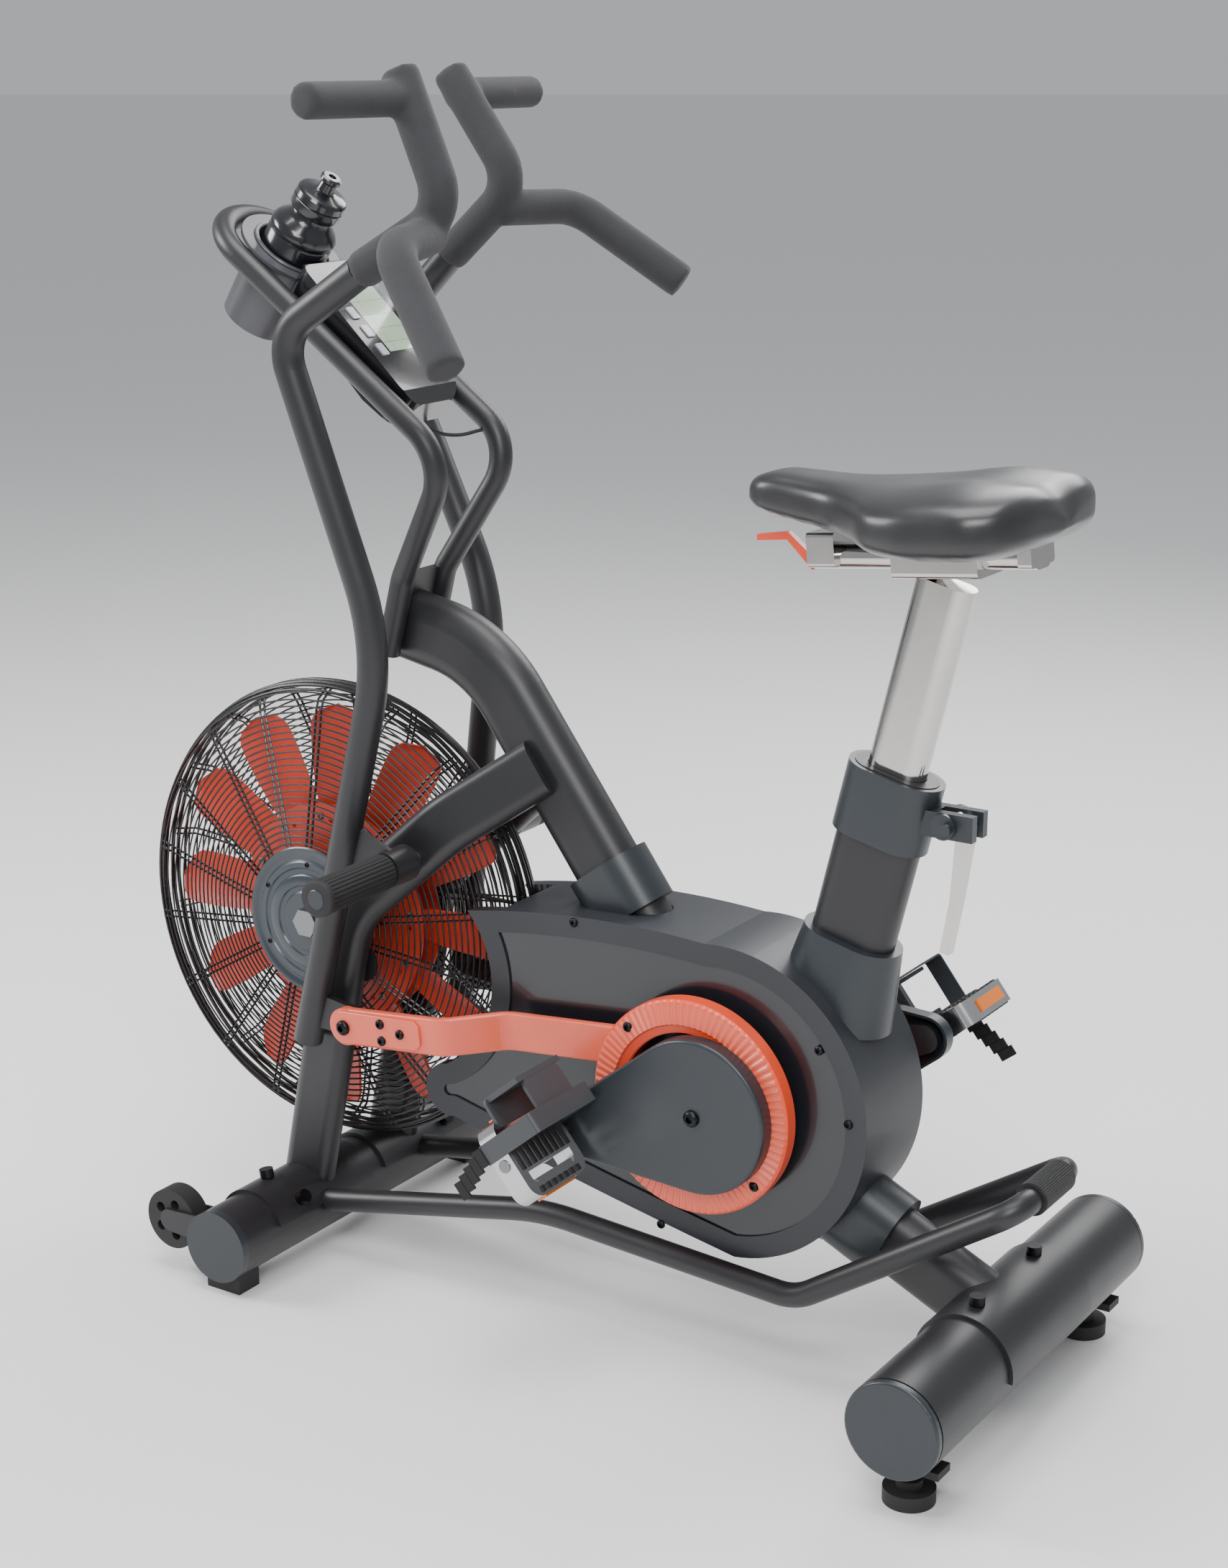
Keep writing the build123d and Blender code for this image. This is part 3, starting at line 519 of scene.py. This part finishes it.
def on_dome(sign, radius, angle, lift=0.0):
    """A point on the cage, by radius and angle about the fan."""
    out = Vector((math.cos(angle), 0, math.sin(angle)))
    return FAN + out * radius + ACROSS * sign * (dome_y(radius) + lift)


class BIKE_OT_cage(bpy.types.Operator):
    """Weld up the two faces of the wire cage"""

    bl_idname = "bike.cage"
    bl_label = "Wire cage"

    def execute(self, context):
        size = sizes()
        for sign, node in ((-1, "cage_left"), (1, "cage_right")):
            shapes = []
            for ring in range(size.rings):
                radius = DOME_INNER + 0.004 + (0.253 - DOME_INNER) * ring / (size.rings - 1)
                loop = [on_dome(sign, radius, 2 * math.pi * k / 96) for k in range(96)]
                shapes.append(pipe(loop, size.wire, 6, True))
            for radius, y, thick in ((0.2630, 0.013, 2.2), (0.2650, 0.006, 2.2), (0.2590, 0.021, 1.6)):
                loop = [FAN + Vector((radius * math.cos(a), sign * y, radius * math.sin(a)))
                        for a in (2 * math.pi * k / 128 for k in range(128))]
                shapes.append(pipe(loop, size.wire * thick, 8, True))
            for rib in range(size.ribs):
                for offset in (-0.0035, 0.0035):
                    line = []
                    for k in range(15):
                        radius = DOME_INNER + (0.2640 - DOME_INNER) * k / 14
                        angle = 2 * math.pi * (rib + 0.5) / size.ribs + offset / radius
                        line.append(on_dome(sign, radius, angle, -0.0022))
                    shapes.append(pipe(line, size.wire * 1.25, 6))
            wires = piece(f"cage_wires_{node[5:]}", *gather(shapes), "wire_black", "root")
            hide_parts(node)
        return {"FINISHED"}


class BIKE_OT_fan(bpy.types.Operator):
    """Turn the hub covers and mould the fan blades"""

    bl_idname = "bike.fan"
    bl_label = "Fan"

    def execute(self, context):
        steps = [(0.0560, 0.010), (0.0560, 0.086), (0.0590, 0.0865), (0.0602, 0.085), (0.0602, 0.079),
                 (0.0592, 0.0775), (0.0592, 0.072), (0.0610, 0.0705), (0.0622, 0.0690), (0.0622, 0.063),
                 (0.0608, 0.0615), (0.0608, 0.056), (0.0628, 0.0545), (0.0636, 0.0530), (0.0636, 0.043),
                 (0.0622, 0.0415), (0.0622, 0.036), (0.0640, 0.034), (0.0640, 0.010)]
        for sign, side in ((-1, "left"), (1, "right")):
            cover = piece(f"hub_cover_{side}", *lathe(steps, FAN, ACROSS * sign, 96), "hub_blue", "root")
            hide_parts("hub_covers")
            marks = []
            for index in range(6):
                angle = math.pi * (index + 0.5) / 3
                spot = FAN + Vector((0.067 * math.cos(angle), sign * 0.0618, 0.067 * math.sin(angle)))
                marks.append(screw(spot, ACROSS * sign, 0.0032))
            for index in range(12):
                angle = math.pi * (index + 0.25) / 6
                spot = FAN + Vector((0.112 * math.cos(angle), sign * 0.0174, 0.112 * math.sin(angle)))
                marks.append(screw(spot, ACROSS * sign, 0.0045))
            hub_marks, disc_marks = gather(marks[:6]), gather(marks[6:])
            piece(f"hub_screws_{side}", *hub_marks, "black_steel", "root")
            piece(f"disc_screws_{side}", *disc_marks, "steel", "fan")
        verts, faces = [], []
        for index in range(12):
            verts_here, faces_here = blade(2 * math.pi * index / 12)
            base = len(verts)
            verts.extend(verts_here)
            faces.extend(tuple(base + corner for corner in face) for face in faces_here)
        blades = piece("blades", verts, faces, "fan_red", "fan")
        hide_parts("fan_blades")
        return {"FINISHED"}


def blade(angle, pitch=0.42, inner=0.104, outer=0.240, rows=18, columns=8, thick=0.0016):
    """A cambered paddle with a rounded tip and a narrower root."""
    out = Vector((math.cos(angle), 0, math.sin(angle)))
    turn = Vector((-math.sin(angle), 0, math.cos(angle)))
    across = turn * math.cos(pitch) - ACROSS * math.sin(pitch)
    normal = turn * math.sin(pitch) + ACROSS * math.cos(pitch)
    verts, faces = [], []
    for side in (1, -1):
        for row in range(rows + 1):
            share = row / rows
            reach = inner + (outer - inner) * share
            body = stations([(0.0, 0.017), (0.25, 0.027), (0.7, 0.031), (1.0, 0.031)], share)
            tip = 0.026
            left = outer - reach
            if left < tip:
                body *= math.sqrt(max(0.0, 1 - ((tip - left) / tip) ** 2)) * 0.98 + 0.02
            for column in range(columns + 1):
                spread = 2 * column / columns - 1
                camber = 0.0035 * (1 - spread * spread)
                verts.append(FAN + out * reach + across * body * spread + normal * (camber + side * thick))
    sheet = (rows + 1) * (columns + 1)
    wide = columns + 1
    for row in range(rows):
        for column in range(columns):
            a = row * wide + column
            faces.append((a, a + 1, a + wide + 1, a + wide))
            faces.append((sheet + a, sheet + a + wide, sheet + a + wide + 1, sheet + a + 1))
    edge = [k for k in range(wide)]
    edge += [row * wide + columns for row in range(1, rows + 1)]
    edge += [rows * wide + column for column in range(columns - 1, -1, -1)]
    edge += [row * wide for row in range(rows - 1, 0, -1)]
    for here, there in zip(edge, edge[1:] + edge[:1]):
        faces.append((here, there, sheet + there, sheet + here))
    return verts, faces


class BIKE_OT_saddle(bpy.types.Operator):
    """Stuff the saddle and draw its vinyl over it"""

    bl_idname = "bike.saddle"
    bl_label = "Saddle"

    def execute(self, context):
        width = [(0.534, 0.004), (0.542, 0.022), (0.560, 0.034), (0.600, 0.040), (0.640, 0.050),
                 (0.680, 0.080), (0.715, 0.112), (0.760, 0.124), (0.810, 0.124), (0.842, 0.110),
                 (0.862, 0.078), (0.870, 0.010)]
        top = [(0.534, 0.918), (0.545, 0.934), (0.575, 0.9415), (0.640, 0.940), (0.720, 0.944),
               (0.800, 0.9535), (0.845, 0.952), (0.862, 0.942), (0.870, 0.925)]
        low = [(0.534, 0.914), (0.545, 0.905), (0.580, 0.897), (0.680, 0.886), (0.740, 0.880),
               (0.820, 0.886), (0.855, 0.898), (0.870, 0.912)]
        rows, around = 44, 48
        verts, faces = [], []
        for row in range(rows + 1):
            x = 0.534 + 0.336 * (0.5 - 0.5 * math.cos(math.pi * row / rows))
            half = stations(width, x)
            high, bottom = stations(top, x), stations(low, x)
            middle = bottom + (high - bottom) * 0.42
            rear = stations([(0.70, 0.0), (0.80, 1.0), (0.87, 1.0)], x)
            for k in range(around):
                angle = 2 * math.pi * k / around
                c, s = math.cos(angle), math.sin(angle)
                y = half * math.copysign(abs(c) ** 0.62, c)
                tall = (high - middle) if s > 0 else (middle - bottom)
                z = middle + tall * math.copysign(abs(s) ** 0.62, s)
                if s > 0:
                    z -= rear * 0.0045 * math.exp(-(y / 0.016) ** 2)
                    z += rear * 0.003 * math.exp(-((abs(y) - 0.055) / 0.03) ** 2)
                else:
                    z += 0.0012 * math.sin(x * 420.0 + y * 60.0) * abs(s)
                verts.append(Vector((x, y, z)))
        for row in range(rows):
            for k in range(around):
                after = (k + 1) % around
                a, b = row * around, (row + 1) * around
                faces.append((a + k, a + after, b + after, b + k))
        faces.append(tuple(range(around)))
        faces.append(tuple(rows * around + k for k in range(around)))
        pad = piece("saddle_pad", verts, faces, "vinyl", "saddle", smooth=0)
        pad.data.polygons.foreach_set("use_smooth", [True] * len(pad.data.polygons))
        subdivide(pad, 1)
        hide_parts("saddle")
        return {"FINISHED"}


def subdivide(thing, levels):
    """Applies a subdivision surface."""
    modifier = thing.modifiers.new("Smooth", "SUBSURF")
    modifier.levels = levels
    apply_modifiers(thing)


def apply_modifiers(thing):
    """Turns what the modifiers show into the object's own mesh."""
    view = bpy.context.evaluated_depsgraph_get()
    view.update()
    made = bpy.data.meshes.new_from_object(thing.evaluated_get(view))
    thing.modifiers.clear()
    thing.data = made


class BIKE_OT_grips(bpy.types.Operator):
    """Mould the foam handles in one skin, with soft junctions and ends"""

    bl_idname = "bike.grips"
    bl_label = "Foam grips"

    def execute(self, context):
        for side in ("left", "right"):
            source = frame["nodes"][f"grip_{side}"]
            foam = bpy.data.objects.new(f"foam_{side}", source.data.copy())
            context.scene.collection.objects.link(foam)
            remesh = foam.modifiers.new("Skin", "REMESH")
            remesh.mode = "VOXEL"
            remesh.voxel_size = 0.0032
            relax = foam.modifiers.new("Relax", "SMOOTH")
            relax.factor = 0.5
            relax.iterations = 14
            swell = foam.modifiers.new("Swell", "DISPLACE")
            swell.mid_level = 0.0
            swell.strength = 0.0007
            apply_modifiers(foam)
            dress(foam, "foam", 0)
            foam.data.polygons.foreach_set("use_smooth", [True] * len(foam.data.polygons))
            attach(foam, f"arm_{side}")
            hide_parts(f"grip_{side}")
        return {"FINISHED"}


class BIKE_OT_pegs(bpy.types.Operator):
    """Mould the ribbed foot pegs"""

    bl_idname = "bike.pegs"
    bl_label = "Foot pegs"

    def execute(self, context):
        count = sizes().peg_ribs

        def ribs(angle, along, radius):
            inside = 0.137 < along < 0.240 and radius > 0.018
            return 0.0011 * abs(math.sin(angle * count / 2)) ** 0.5 - 0.0011 if inside else 0.0

        profile = [(0.1350, 0.010), (0.1350, 0.0175), (0.1362, 0.0190)]
        profile += [(0.1375 + 0.1015 * k / 12, 0.0195) for k in range(13)]
        profile += [(0.2400, 0.0200), (0.2465, 0.0200), (0.2480, 0.0185), (0.2480, 0.010)]
        for sign, side in ((-1, "left"), (1, "right")):
            shape = lathe(profile, PIVOT, ACROSS * sign, 208, ribs)
            peg = piece(f"peg_{side}", *shape, "rubber", "root", smooth=50)
            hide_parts("pivot_pegs")
            disc = [(0.238, 0.0), (0.238, 0.0105), (0.2483, 0.0105), (0.2490, 0.0095), (0.2490, 0.0)]
            piece(f"peg_end_{side}", *lathe(disc, PIVOT, ACROSS * sign, 40), "graphite", "root")
        return {"FINISHED"}


class BIKE_OT_links(bpy.types.Operator):
    """Rib the link rings, and add the rods' front plates and screws"""

    bl_idname = "bike.links"
    bl_label = "Links"

    def execute(self, context):
        count = sizes().ring_ribs
        for sign, side in ((-1, "left"), (1, "right")):
            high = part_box(f"link_{side}")[1]
            centre = Vector((high.x - HOME.x - RING_R, 0, high.z - RING_R))
            verts, faces = [], []
            steps = count * 4
            rows = [(0.081, 0.0895), (0.081, 0.0918), (0.089, 0.0922), (0.0905, 0.0955),
                    (0.1135, 0.0925), (0.1155, 0.0905), (0.1155, 0.0895)]
            for step in range(steps):
                angle = 2 * math.pi * step / steps
                raised = 0.0009 if step % 4 in (0, 1) else -0.0004
                for row, (radius, y) in enumerate(rows):
                    lift = raised if row in (3, 4) else 0.0
                    out = Vector((math.cos(angle), 0, math.sin(angle)))
                    verts.append(centre + out * radius + ACROSS * sign * (y + lift))
            wide = len(rows)
            for step in range(steps):
                here, there = step * wide, (step + 1) % steps * wide
                for row in range(wide):
                    after = (row + 1) % wide
                    faces.append((here + row, here + after, there + after, there + row))
            piece(f"ring_face_{side}", verts, faces, "coral", f"link_{side}", smooth=20)
            pin = joint_spot(f"link_{side}_turn") - HOME
            pin.y = 0.0
            along = (Vector((0.130, 0, 0.0137))).normalized()
            up = Vector((-along.z, 0, along.x))
            outline = ((-0.004, 0.0185), (0.098, 0.0165), (0.104, 0.010), (0.104, -0.010),
                       (0.098, -0.0165), (-0.004, -0.0185), (-0.016, -0.010), (-0.019, 0.0),
                       (-0.016, 0.010))
            plate, plate_faces = [], []
            for y in (0.1318, 0.1348):
                for u, v in outline:
                    plate.append(pin + along * u + up * v + ACROSS * sign * y)
            for k in range(9):
                plate_faces.append((k, (k + 1) % 9, 9 + (k + 1) % 9, 9 + k))
            plate_faces += [tuple(range(9)), tuple(range(9, 18))]
            cover = piece(f"link_plate_{side}", plate, plate_faces, "coral", f"link_{side}")
            bevel = cover.modifiers.new("Edge", "BEVEL")
            bevel.width = 0.0009
            bevel.segments = 2
            apply_modifiers(cover)
            heads = [screw(pin + ACROSS * sign * 0.1350, ACROSS * sign, 0.0085)]
            for u, v in ((0.052, 0.009), (0.052, -0.010), (0.078, 0.0)):
                heads.append(screw(pin + along * u + up * v + ACROSS * sign * 0.1348, ACROSS * sign, 0.0055))
            for angle in (2.35, -0.7):
                spot = centre + Vector((0.104 * math.cos(angle), sign * 0.0935, 0.104 * math.sin(angle)))
                heads.append(screw(spot, ACROSS * sign, 0.0055))
            piece(f"link_screws_{side}", *gather(heads), "black_steel", f"link_{side}")
        return {"FINISHED"}


class BIKE_OT_bottle(bpy.types.Operator):
    """Turn the drinking bottle and its holder"""

    bl_idname = "bike.bottle"
    bl_label = "Bottle"

    def execute(self, context):
        body = [(-0.0746, 0.0), (-0.0746, 0.030), (-0.0720, 0.0335), (-0.010, 0.0345),
                (0.034, 0.0365), (0.037, 0.0350), (0.041, 0.0372), (0.046, 0.0368),
                (0.052, 0.0330), (0.058, 0.0265), (0.063, 0.0228), (0.068, 0.0222), (0.068, 0.0)]
        cap = [(0.0680, 0.0), (0.0680, 0.0268), (0.0705, 0.0282), (0.0800, 0.0282),
               (0.0812, 0.0268), (0.0825, 0.0282), (0.0890, 0.0280), (0.0915, 0.0262),
               (0.0935, 0.0215), (0.0950, 0.0125), (0.0965, 0.0100), (0.1060, 0.0092),
               (0.1085, 0.0118), (0.1120, 0.0118), (0.1135, 0.0095), (0.1135, 0.0045),
               (0.1110, 0.0040), (0.1110, 0.0)]
        turned = lathe(body, CUP_ORIGIN, CUP_AXIS, 72)
        bottle = piece("bottle_body", *turned, "bottle_black", "bottle", smooth=40)
        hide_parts("bottle")
        piece("bottle_cap", *lathe(cap, CUP_ORIGIN, CUP_AXIS, 72), "bottle_black", "bottle", smooth=30)
        lip = [(0.0168, 0.0412), (0.0168, 0.0450), (0.0182, 0.0462), (0.0196, 0.0450),
               (0.0196, 0.0420), (0.0182, 0.0408)]
        piece("holder_lip", *lathe(lip, CUP_ORIGIN, CUP_AXIS, 96), "silver_plastic", "root")
        return {"FINISHED"}


def bead(points, radius=0.0024):
    """A weld bead: a wire with close ripples along it."""
    verts, faces = pipe(points, radius, 8, True)
    count = len(points)
    for index in range(count):
        swell = 1.0 + 0.22 * math.sin(index * math.pi / 2)
        for corner in range(8):
            spot = index * 8 + corner
            verts[spot] = points[index] + (verts[spot] - points[index]) * swell
    return verts, faces


class BIKE_OT_welds(bpy.types.Operator):
    """Lay the weld beads round the pivot stubs and the crank axle, on both sides of the frame"""

    bl_idname = "bike.welds"
    bl_label = "Weld beads"

    def execute(self, context):
        shapes = []
        for sign in (-1, 1):
            for centre, axis, reach in (((0.166, sign * 0.0800, 0.494), ACROSS, 0.0118),
                                        ((0.538, sign * 0.0640, 0.290), ACROSS, 0.0305)):
                side, other = frame_about(axis)
                loop = [Vector(centre) + (side * math.cos(a) + other * math.sin(a)) * reach
                        for a in (2 * math.pi * k / 120 for k in range(120))]
                shapes.append(bead(loop, 0.0018))
        piece("weld_beads", *gather(shapes), "powder_black", "root")
        return {"FINISHED"}


class BIKE_OT_trim(bpy.types.Operator):
    """Add the pedal pads, reflectors and straps, and the frame's screws"""

    bl_idname = "bike.trim"
    bl_label = "Trim"

    def execute(self, context):
        for side, sign in (("left", -1), ("right", 1)):
            self.pedal(side, sign)
        heads = [screw(CRANK + Vector((0, sign * 0.1140, 0)), ACROSS * sign, 0.009) for sign in (-1, 1)]
        piece("crank_bolts", *gather(heads), "black_steel", "crank")
        frame_heads = []
        for x, z in ((0.655, 0.372), (0.360, 0.452), (0.690, 0.300), (0.470, 0.135)):
            for sign in (-1, 1):
                frame_heads.append(screw(Vector((x, sign * 0.0618, z)), ACROSS * sign, 0.005))
        piece("casing_screws", *gather(frame_heads), "black_steel", "root")
        return {"FINISHED"}

    def pedal(self, side, sign):
        """Pads, reflectors and a strap tail on one pedal."""
        centre = joint_spot(f"pedal_{side}_spin") - HOME
        tilt = math.radians(50.0 if side == "left" else -38.0)
        toe = Vector((-math.cos(tilt), 0, math.sin(tilt)))
        up = Vector((math.sin(tilt), 0, math.cos(tilt)))

        def block(u, y, w, half_u, half_y, half_w):
            corners = [(a, b, c) for a in (-1, 1) for b in (-1, 1) for c in (-1, 1)]
            verts = [centre + toe * (u + a * half_u) + ACROSS * (y + b * half_y) + up * (w + c * half_w)
                     for a, b, c in corners]
            return verts, [(0, 1, 3, 2), (4, 6, 7, 5), (0, 4, 5, 1), (2, 3, 7, 6), (0, 2, 6, 4), (1, 5, 7, 3)]

        studs = []
        for end in (-1, 1):
            for height in (-1, 1):
                for k in range(7):
                    studs.append(block(end * 0.0395, (k - 3) * 0.0105, height * 0.0134,
                                       0.0035, 0.0036, 0.0012))
        for height in (-1, 1):
            for k in range(9):
                studs.append(block(0.0, (k - 4) * 0.0098, height * 0.0134, 0.0135, 0.0032, 0.0011))
        pads = piece(f"pedal_pads_{side}", *gather(studs), "rubber", f"pedal_{side}", smooth=0)
        bevel = pads.modifiers.new("Edge", "BEVEL")
        bevel.width = 0.0007
        apply_modifiers(pads)
        lamps = [block(end * 0.0468, 0.0, 0.0, 0.0016, 0.026, 0.0068) for end in (-1, 1)]
        piece(f"reflectors_{side}", *gather(lamps), "amber", f"pedal_{side}", smooth=0)
        tail = [block(0.020 - 0.004 * k, sign * 0.0535, -0.018 - 0.011 * k, 0.010, 0.0011, 0.0058)
                for k in range(5)]
        piece(f"strap_tail_{side}", *gather(tail), "webbing", f"pedal_{side}", smooth=0)


CABLE_ROUTE = [(0.108, 0.016, 0.963), (0.110, 0.020, 0.948), (0.124, 0.030, 0.936), (0.146, 0.042, 0.934),
               (0.166, 0.052, 0.941), (0.180, 0.060, 0.944)]


class BIKE_OT_cable(bpy.types.Operator):
    """Run the console's cable into the mast"""

    bl_idname = "bike.cable"
    bl_label = "Cable"

    def execute(self, context):
        curve = bpy.data.curves.new("console_lead", "CURVE")
        curve.dimensions = "3D"
        curve.bevel_depth = 0.002
        curve.bevel_resolution = 4
        curve.resolution_u = 16
        spline = curve.splines.new("NURBS")
        spline.points.add(len(CABLE_ROUTE) - 1)
        for point, spot in zip(spline.points, CABLE_ROUTE):
            point.co = (*(Vector(spot) + HOME), 1.0)
        spline.order_u = 3
        spline.use_endpoint_u = True
        lead = bpy.data.objects.new("console_lead", curve)
        context.scene.collection.objects.link(lead)
        curve.materials.append(FINISHES["rubber"].material)
        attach(lead, "root")
        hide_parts("console_cable")
        return {"FINISHED"}


class BIKE_OT_stage(bpy.types.Operator):
    """Set the floor, the lights and the camera"""

    bl_idname = "bike.stage"
    bl_label = "Stage"

    def execute(self, context):
        reach = 80.0
        verts = [(x * reach, y * reach, -0.0005) for x, y in ((-1, -1), (1, -1), (1, 1), (-1, 1))]
        mesh = bpy.data.meshes.new("floor")
        mesh.from_pydata(verts, [], [(0, 1, 2, 3)])
        floor = bpy.data.objects.new("floor", mesh)
        context.scene.collection.objects.link(floor)
        paper = Finish("paper", tuple(sizes().floor_color), 0.8)
        mesh.materials.append(paper.material)
        for spot, power, size in (((1.9, -2.6, 2.7), 85.0, 1.5), ((-2.6, -1.4, 2.2), 90.0, 1.3),
                                  ((0.4, 2.6, 2.6), 70.0, 1.8), ((0.4, -0.3, 3.6), 95.0, 2.0)):
            lamp = bpy.data.lights.new("softbox", "AREA")
            lamp.energy = power
            lamp.size = size
            light = bpy.data.objects.new("softbox", lamp)
            light.location = HOME + Vector(spot)
            light.rotation_euler = (Vector((0.3, 0, 0.6)) - Vector(spot)).to_track_quat("-Z", "Y").to_euler()
            context.scene.collection.objects.link(light)
        world = bpy.data.worlds.new("studio")
        world.use_nodes = True
        world.node_tree.nodes["Background"].inputs["Color"].default_value = (0.92, 0.94, 0.97, 1.0)
        world.node_tree.nodes["Background"].inputs["Strength"].default_value = 0.5
        context.scene.world = world
        data = bpy.data.cameras.new("view")
        data.lens = 60.67
        data.sensor_width = 36.0
        data.clip_end = 60.0
        camera = bpy.data.objects.new("view", data)
        camera.location = HOME + Vector((1.8272, -2.2427, 1.3505))
        look = Vector((-0.5240, 0.8066, -0.2735))
        camera.rotation_euler = look.to_track_quat("-Z", "Y").to_euler()
        context.scene.collection.objects.link(camera)
        context.scene.camera = camera
        return {"FINISHED"}


class BIKE_PT_panel(bpy.types.Panel):
    bl_idname = "BIKE_PT_panel"
    bl_label = "Air Bike"
    bl_space_type = "VIEW_3D"
    bl_region_type = "UI"
    bl_category = "Air Bike"

    def draw(self, context):
        for operator in OPERATORS:
            self.layout.operator(operator.bl_idname)
        for name in BikeSizes.__annotations__:
            self.layout.prop(context.scene.bike_sizes, name)


OPERATORS = (BIKE_OT_stage, BIKE_OT_finishes, BIKE_OT_cage, BIKE_OT_fan, BIKE_OT_saddle,
             BIKE_OT_grips, BIKE_OT_pegs, BIKE_OT_links, BIKE_OT_bottle, BIKE_OT_welds, BIKE_OT_trim,
             BIKE_OT_cable)


def register():
    for kind in (BikeSizes, *OPERATORS, BIKE_PT_panel):
        bpy.utils.register_class(kind)
    bpy.types.Scene.bike_sizes = PointerProperty(type=BikeSizes)


def unregister():
    del bpy.types.Scene.bike_sizes
    for kind in reversed((BikeSizes, *OPERATORS, BIKE_PT_panel)):
        bpy.utils.unregister_class(kind)


def main():
    register()
    for operator in OPERATORS:
        group, name = operator.bl_idname.split(".")
        getattr(getattr(bpy.ops, group), name)()


if __name__ == "__main__":
    main()
